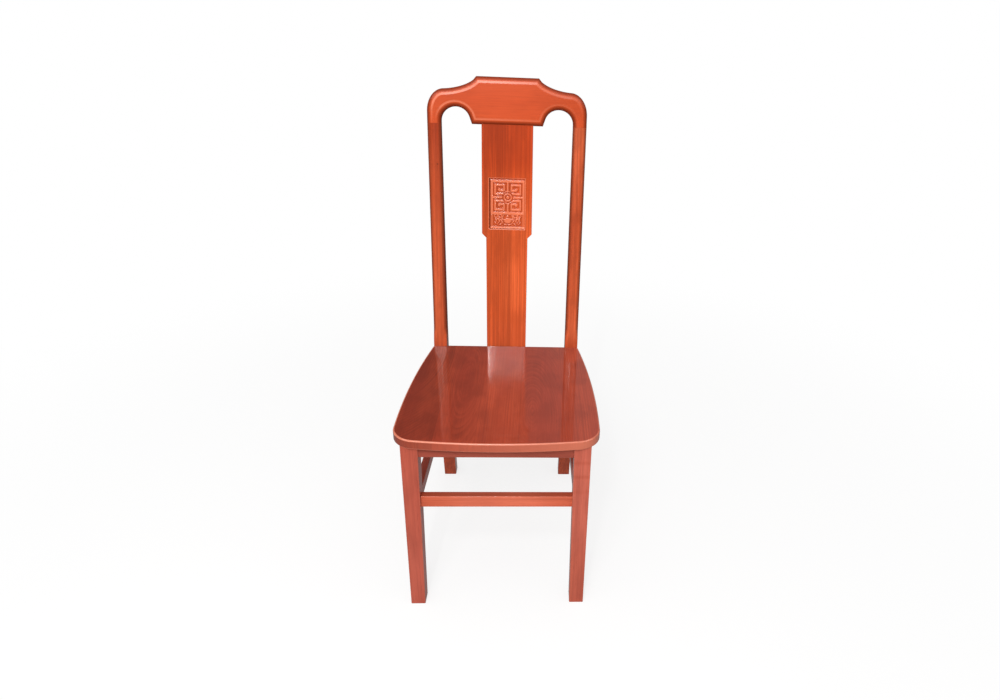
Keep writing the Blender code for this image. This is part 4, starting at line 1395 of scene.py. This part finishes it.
def carve(bm, floor):
    """Turn the floor into a fine grid and raise the pattern on it."""
    before = set(bm.faces) - {floor}
    bmesh.ops.subdivide_edges(bm, edges=floor.edges[:], cuts=grid_cuts, use_grid_fill=True)
    grid = [face for face in bm.faces if face not in before]
    grid = [face for face in grid if len(face.verts) == 4 and abs(face.normal.z) > level_normal]
    verts = list({vert for face in grid for vert in face.verts})
    x = np.array([vert.co.x for vert in verts]) - fret_shift
    y = np.array([vert.co.y for vert in verts]) - fret_middle
    heights = carving_heights(x, y)
    for vert, height in zip(verts, heights):
        vert.co.z += height * bar_height
    hollows = carving_heights(x, y, hollow_spread) * (1 - heights)
    shade = np.clip(-x - fret_reach[0] - frame_bar_width / 2, 0.0, shade_run) / shade_run
    values = floor_paleness + heights * top_highlight - hollows * hollow_shade - shade * wall_shade
    values = dict(zip(verts, values))
    layer = rim_layer(bm)
    for face in grid:
        for corner in face.loops:
            corner[layer] = values[corner.vert]
    return grid


def make_splat():
    """The stepped splat with its carved panel."""
    half = [
        (splat_upper_half_width, joint_length + splat_housing),
        (splat_upper_half_width, splat_step_high),
        (splat_step_half_width, splat_step_low),
        (splat_foot_half_width, -2 * seat_thickness),
    ]
    bm = slab(mirrored(half), -splat_setback - splat_thickness, -splat_setback)
    rims = [edge for edge in bm.edges if abs(edge.verts[0].co.z - edge.verts[1].co.z) < hair]
    round_edges(bm, rims, splat_arris)
    grid = carve(bm, sink_panel(bm))
    bm.transform(back_frame)
    saw_off(bm, (0, 0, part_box("rear_apron")[1].z + hair), (0, 0, 1))
    bmesh.ops.recalc_face_normals(bm, faces=bm.faces)
    sharpen(bm, [face for face in grid if face.is_valid])
    return add_piece("carved_splat", bm, splat_wood, "back_lacquer", "back_splat")


make_splat()

# %% [markdown]
# ## The seat board
#
# The seat is glued up from a few staves, planed flat, sawn to a bowed front with round corners, and
# eased with a router: a small round on top, which draws a fine bright line along the front, and a
# smaller one below. The line is also painted on the rounds as a highlight, brightest on the left,
# and the front wall under it gets a painted sheen. Its back edge fits between the posts, so it is
# notched there and stays square.
#
# A cube with a Bevel modifier would give straight sides and the same round everywhere. Here the
# outline is made of arcs whose middles are worked out so that they meet without a kink, it is
# extruded, and only the rims in front of the posts are bevelled, each with its own radius.

# %% Seat outline
seat_back_spread = 0.0016
seat_widest_setback = 0.090
seat_front_bow = 0.0175
seat_corner_radius = 0.052
side_steps = 24
round_steps = 16
front_steps = 20
seat_half_width = seat_high.x
seat_back_half_width = post_half_width(seat_top) + seat_back_spread
seat_widest_y = leg_low.y + seat_widest_setback
splat_foot_front = (post_front + splat_setback / math.cos(back_lean)
                    - seat_thickness * math.tan(back_lean))


def circle_crossing(first, first_radius, second, second_radius):
    """The crossing of two circles that has the larger X."""
    gap = second - first
    distance = gap.length
    reach = (first_radius ** 2 - second_radius ** 2 + distance ** 2) / (2 * distance)
    offset = math.sqrt(first_radius ** 2 - reach ** 2)
    foot = first + gap * reach / distance
    swing = Vector((-gap.y, gap.x)) * offset / distance
    return max((foot + swing, foot - swing), key=lambda point: point.x)


def bow_radius(half_chord, rise):
    """Radius of an arc from its half chord and its rise."""
    return (half_chord ** 2 + rise ** 2) / (2 * rise)


def seat_outline():
    """Bowed front, round corners, bowed sides, and a back notched at the posts."""
    back_edge = post_front - clearance
    notch_x = post_half_width(seat_top) - post_width - clearance
    side_radius = bow_radius(back_edge - seat_widest_y, seat_half_width - seat_back_half_width)
    front_radius = bow_radius(seat_half_width, seat_front_bow)
    side_middle = Vector((seat_half_width - side_radius, seat_widest_y))
    front_middle = Vector((0, seat_low.y + front_radius))
    corner = circle_crossing(side_middle, side_radius - seat_corner_radius,
                             front_middle, front_radius - seat_corner_radius)
    back_angle = math.asin((back_edge - seat_widest_y) / side_radius)
    side_angle = math.atan2(corner.y - side_middle.y, corner.x - side_middle.x)
    front_angle = math.atan2(corner.y - front_middle.y, corner.x - front_middle.x)
    half = [(notch_x, splat_foot_front - clearance), (notch_x, back_edge)]
    half += arc(side_middle, (side_radius, side_radius), back_angle, side_angle, side_steps)
    corner_radii = (seat_corner_radius, seat_corner_radius)
    half += arc(corner, corner_radii, side_angle, front_angle, round_steps)[1:]
    half += arc(front_middle, (front_radius, front_radius), front_angle, -math.pi / 2,
                front_steps)[1:-1]
    return half + [(0, seat_low.y)] + [(-x, y) for x, y in reversed(half)]


print("seat", round(seat_half_width * 2000, 1), "mm wide, widest at Y", round(seat_widest_y, 4))

# %% Cut the seat
# Level, radius and segments of the two rounds.
seat_rounds = ((seat_high.z, 0.0030, 5), (seat_low.z, 0.0015, 3))
# Painted highlight on the rounds and painted sheen on the wall under them, and how both change
# towards the right end.
seat_edge_highlight = 0.95
seat_edge_highlight_slope = -0.35
seat_wall_sheen = 0.45
seat_wall_sheen_slope = 0.62
upright_normal = 0.1


def make_seat():
    """The seat board."""
    bm = slab(seat_outline(), seat_low.z, seat_high.z)
    limit = post_front - 2 * clearance
    for level, radius, segments in seat_rounds:
        rim = []
        for edge in bm.edges:
            flat = all(abs(vert.co.z - level) < hair for vert in edge.verts)
            if flat and min(vert.co.y for vert in edge.verts) < limit:
                rim.append(edge)
        round_edges(bm, rim, radius, segments, seat_edge_highlight)
    layer = rim_layer(bm)
    for face in bm.faces:
        wall = abs(face.normal.z) < upright_normal and face.calc_center_median().y < limit
        for corner in face.loops:
            share = corner.vert.co.x / seat_half_width
            # Painted sheen on the front wall, and a painted highlight on the rounds.
            if wall:
                corner[layer] = seat_wall_sheen * (1 + seat_wall_sheen_slope * share)
            elif corner[layer] > 0:
                corner[layer] = seat_edge_highlight * (1 + seat_edge_highlight_slope * share)
    sharpen(bm)
    return add_piece("seat_top", bm, seat_wood, "seat_lacquer", "seat_board")


make_seat()

# %% [markdown]
# ## Front legs and rails
#
# The front legs are square, upright outside and tapered on their two inner faces. The rails are
# plain bars with eased edges.
#
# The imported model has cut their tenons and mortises. They are out of sight, so they could be left
# out, and then each rail would end at the leg's face, where rounding errors open a thin gap. Here
# each rail runs into the legs by the length of its tenon: the joint line that shows is the same,
# and it stays closed.

# %% Front legs
leg_foot_width = 0.0321
leg_foot_depth = 0.0325
leg_arris = 0.0015


def make_leg(name, node, side, material):
    """A front leg with a taper on its inner faces."""
    bm = bmesh.new()
    bmesh.ops.create_cube(bm, size=1.0)
    for vert in bm.verts:
        at_top = vert.co.z > 0
        width = leg_high.x - leg_low.x if at_top else leg_foot_width
        depth = leg_high.y - leg_low.y if at_top else leg_foot_depth
        x = leg_high.x - (width if vert.co.x < 0 else 0.0)
        y = leg_low.y + (depth if vert.co.y > 0 else 0.0)
        vert.co = (side * x, y, leg_high.z if at_top else 0.0)
    bmesh.ops.recalc_face_normals(bm, faces=bm.faces)
    eased = [edge for edge in bm.edges if min(vert.co.z for vert in edge.verts) < leg_high.z]
    round_edges(bm, eased, leg_arris)
    sharpen(bm)
    return add_piece(name, bm, material, "frame_lacquer", node)


for side, word in ((-1, "left"), (1, "right")):
    make_leg("square_leg_" + word, "front_leg_" + word, side, leg_woods[word])

# %% Rails
rail_arris = 0.0012
# The front stretcher's upper face carries painted shade, for the seat above it.
stretcher_top_shade = -0.45


def make_rail(name, node, start, end, thickness, material, slot, top_shade=0.0):
    """A level bar with eased edges, between two points in plan, as high as its node."""
    low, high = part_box(node)
    run = Vector((end[0] - start[0], end[1] - start[1], 0))
    middle = Vector(((start[0] + end[0]) / 2, (start[1] + end[1]) / 2, (low.z + high.z) / 2))
    size = Matrix.Diagonal((run.length, thickness, high.z - low.z, 1))
    turn = Matrix.Rotation(math.atan2(run.y, run.x), 4, "Z")
    bm = bmesh.new()
    bmesh.ops.create_cube(bm, size=1.0, matrix=size)
    long_edges = [edge for edge in bm.edges if abs(edge.verts[0].co.x - edge.verts[1].co.x) > thickness]
    round_edges(bm, long_edges, rail_arris)
    # The upper face gets its painted shade, if it has any.
    mark_rim(bm, [end_face(bm, 1)], top_shade)
    sharpen(bm)
    bm.transform(Matrix.Translation(middle) @ turn)
    return add_piece(name, bm, material, slot, node)


def make_cross_rail(name, node, material, slot, top_shade=0.0):
    """A rail that runs straight across the chair."""
    low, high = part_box(node)
    middle_y = (low.y + high.y) / 2
    return make_rail(name, node, (low.x, middle_y), (high.x, middle_y), high.y - low.y, material,
                     slot, top_shade)


def make_side_rail(name, node, side, thickness, material, slot):
    """A rail from a front leg back to a post, drawn in a little towards the back."""
    low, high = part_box(node)
    near, far = (high.x, low.x) if side > 0 else (low.x, high.x)
    start = (near - side * thickness / 2, low.y)
    end = (far + side * thickness / 2, high.y)
    return make_rail(name, node, start, end, thickness, material, slot)


apron_low, apron_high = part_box("front_apron")
stretcher_low, stretcher_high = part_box("front_stretcher")
apron_thickness = apron_high.y - apron_low.y
stretcher_thickness = stretcher_high.y - stretcher_low.y
make_cross_rail("apron_bar_front", "front_apron", apron_shaded_wood, "seat_lacquer")
make_cross_rail("apron_bar_rear", "rear_apron", rear_wood, "frame_lacquer")
make_cross_rail("stretcher_bar_front", "front_stretcher", stretcher_lit_wood, "frame_lacquer",
                stretcher_top_shade)
make_cross_rail("stretcher_bar_rear", "rear_stretcher", rear_wood, "frame_lacquer")
for side, word in ((-1, "left"), (1, "right")):
    make_side_rail("apron_bar_" + word, "side_apron_" + word, side, apron_thickness,
                   side_wood, "frame_lacquer")
    make_side_rail("stretcher_bar_" + word, "side_stretcher_" + word, side, stretcher_thickness,
                   side_wood, "frame_lacquer")

# %% [markdown]
# ## Blocks, dowels and screws
#
# The corner blocks under the seat, their screws and the dowels in the crest joints are never
# sprayed: the blocks and dowels are bare pale wood, and the screws are plated steel.
#
# They could be modelled again with finer edges, but hardly anyone looks under a chair. So the
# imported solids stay, and only get a finish with the same rings and fibres but no lacquer.

# %% Bare wood and steel
bare_pith = (0.0, 0.1, 0.0)
bare_wander = 0.01
bare_ring = 0.003
bare_pale = (0.56, 0.36, 0.19, 1.0)
bare_dark = (0.40, 0.22, 0.10, 1.0)
bare_fibre = (0.45, 0.27, 0.13, 1.0)
bare_fibre_strength = 0.4
bare_bump = (0.5, 0.0002)
bare_roughness = 0.55
steel_noise = ((900.0, 900.0, 900.0), 2.0)
steel_pale = (0.62, 0.61, 0.58, 1.0)
steel_dark = (0.48, 0.47, 0.45, 1.0)
steel_roughness = 0.22
# Roughness that full fibres add to the wood, and full turning marks to the steel.
mark_roughness = 0.25


def bare_wood(name):
    """Pale wood, sawn and sanded but not finished."""
    material = bpy.data.materials.new(name)
    material.use_nodes = True
    tree = material.node_tree
    shader = tree.nodes["Principled BSDF"]
    place = add_node(tree, "TexCoord").outputs["Object"]
    space = add_node(tree, "Mapping", {"Vector": place, "Rotation": along_width,
                                       "Location": bare_pith}).outputs[0]
    parts = add_node(tree, "SeparateXYZ", {0: space}).outputs
    distance = pith_distance(tree, parts["X"], parts["Y"], bare_wander, space)
    fibre = noise(tree, space, fibre_noise)
    fine = calculate(tree, "MULTIPLY", fibre, bare_fibre_strength)
    tone = mix_colours(tree, early_wood(tree, distance, bare_ring), bare_pale, bare_dark)
    rough = calculate(tree, "MULTIPLY_ADD", fibre, mark_roughness, bare_roughness)
    tree.links.new(mix_colours(tree, fine, tone, bare_fibre), shader.inputs["Base Color"])
    tree.links.new(rough, shader.inputs["Roughness"])
    tree.links.new(relief(tree, fibre, *bare_bump), shader.inputs["Normal"])
    return material


def brushed_steel(name):
    """Plated steel with fine turning marks."""
    material = bpy.data.materials.new(name)
    material.use_nodes = True
    tree = material.node_tree
    shader = tree.nodes["Principled BSDF"]
    place = add_node(tree, "TexCoord").outputs["Object"]
    marks = noise(tree, place, steel_noise)
    tone = mix_colours(tree, marks, steel_pale, steel_dark)
    rough = calculate(tree, "MULTIPLY_ADD", marks, mark_roughness, steel_roughness)
    tree.links.new(tone, shader.inputs["Base Color"])
    tree.links.new(rough, shader.inputs["Roughness"])
    shader.inputs["Metallic"].default_value = 1.0
    return material


steel = brushed_steel("screw_steel_finish")
finishes = {"corner_block": bare_wood("block_wood"), "crest_dowel": bare_wood("dowel_wood"),
            "block_screw": steel, "seat_screw": steel}
finished = 0
for node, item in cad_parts.items():
    for start, material in finishes.items():
        if node.startswith(start):
            finished += 1
            for slot_item in item.material_slots:
                slot_item.material = material
print("pieces kept from the packed model, with a finish:", finished)
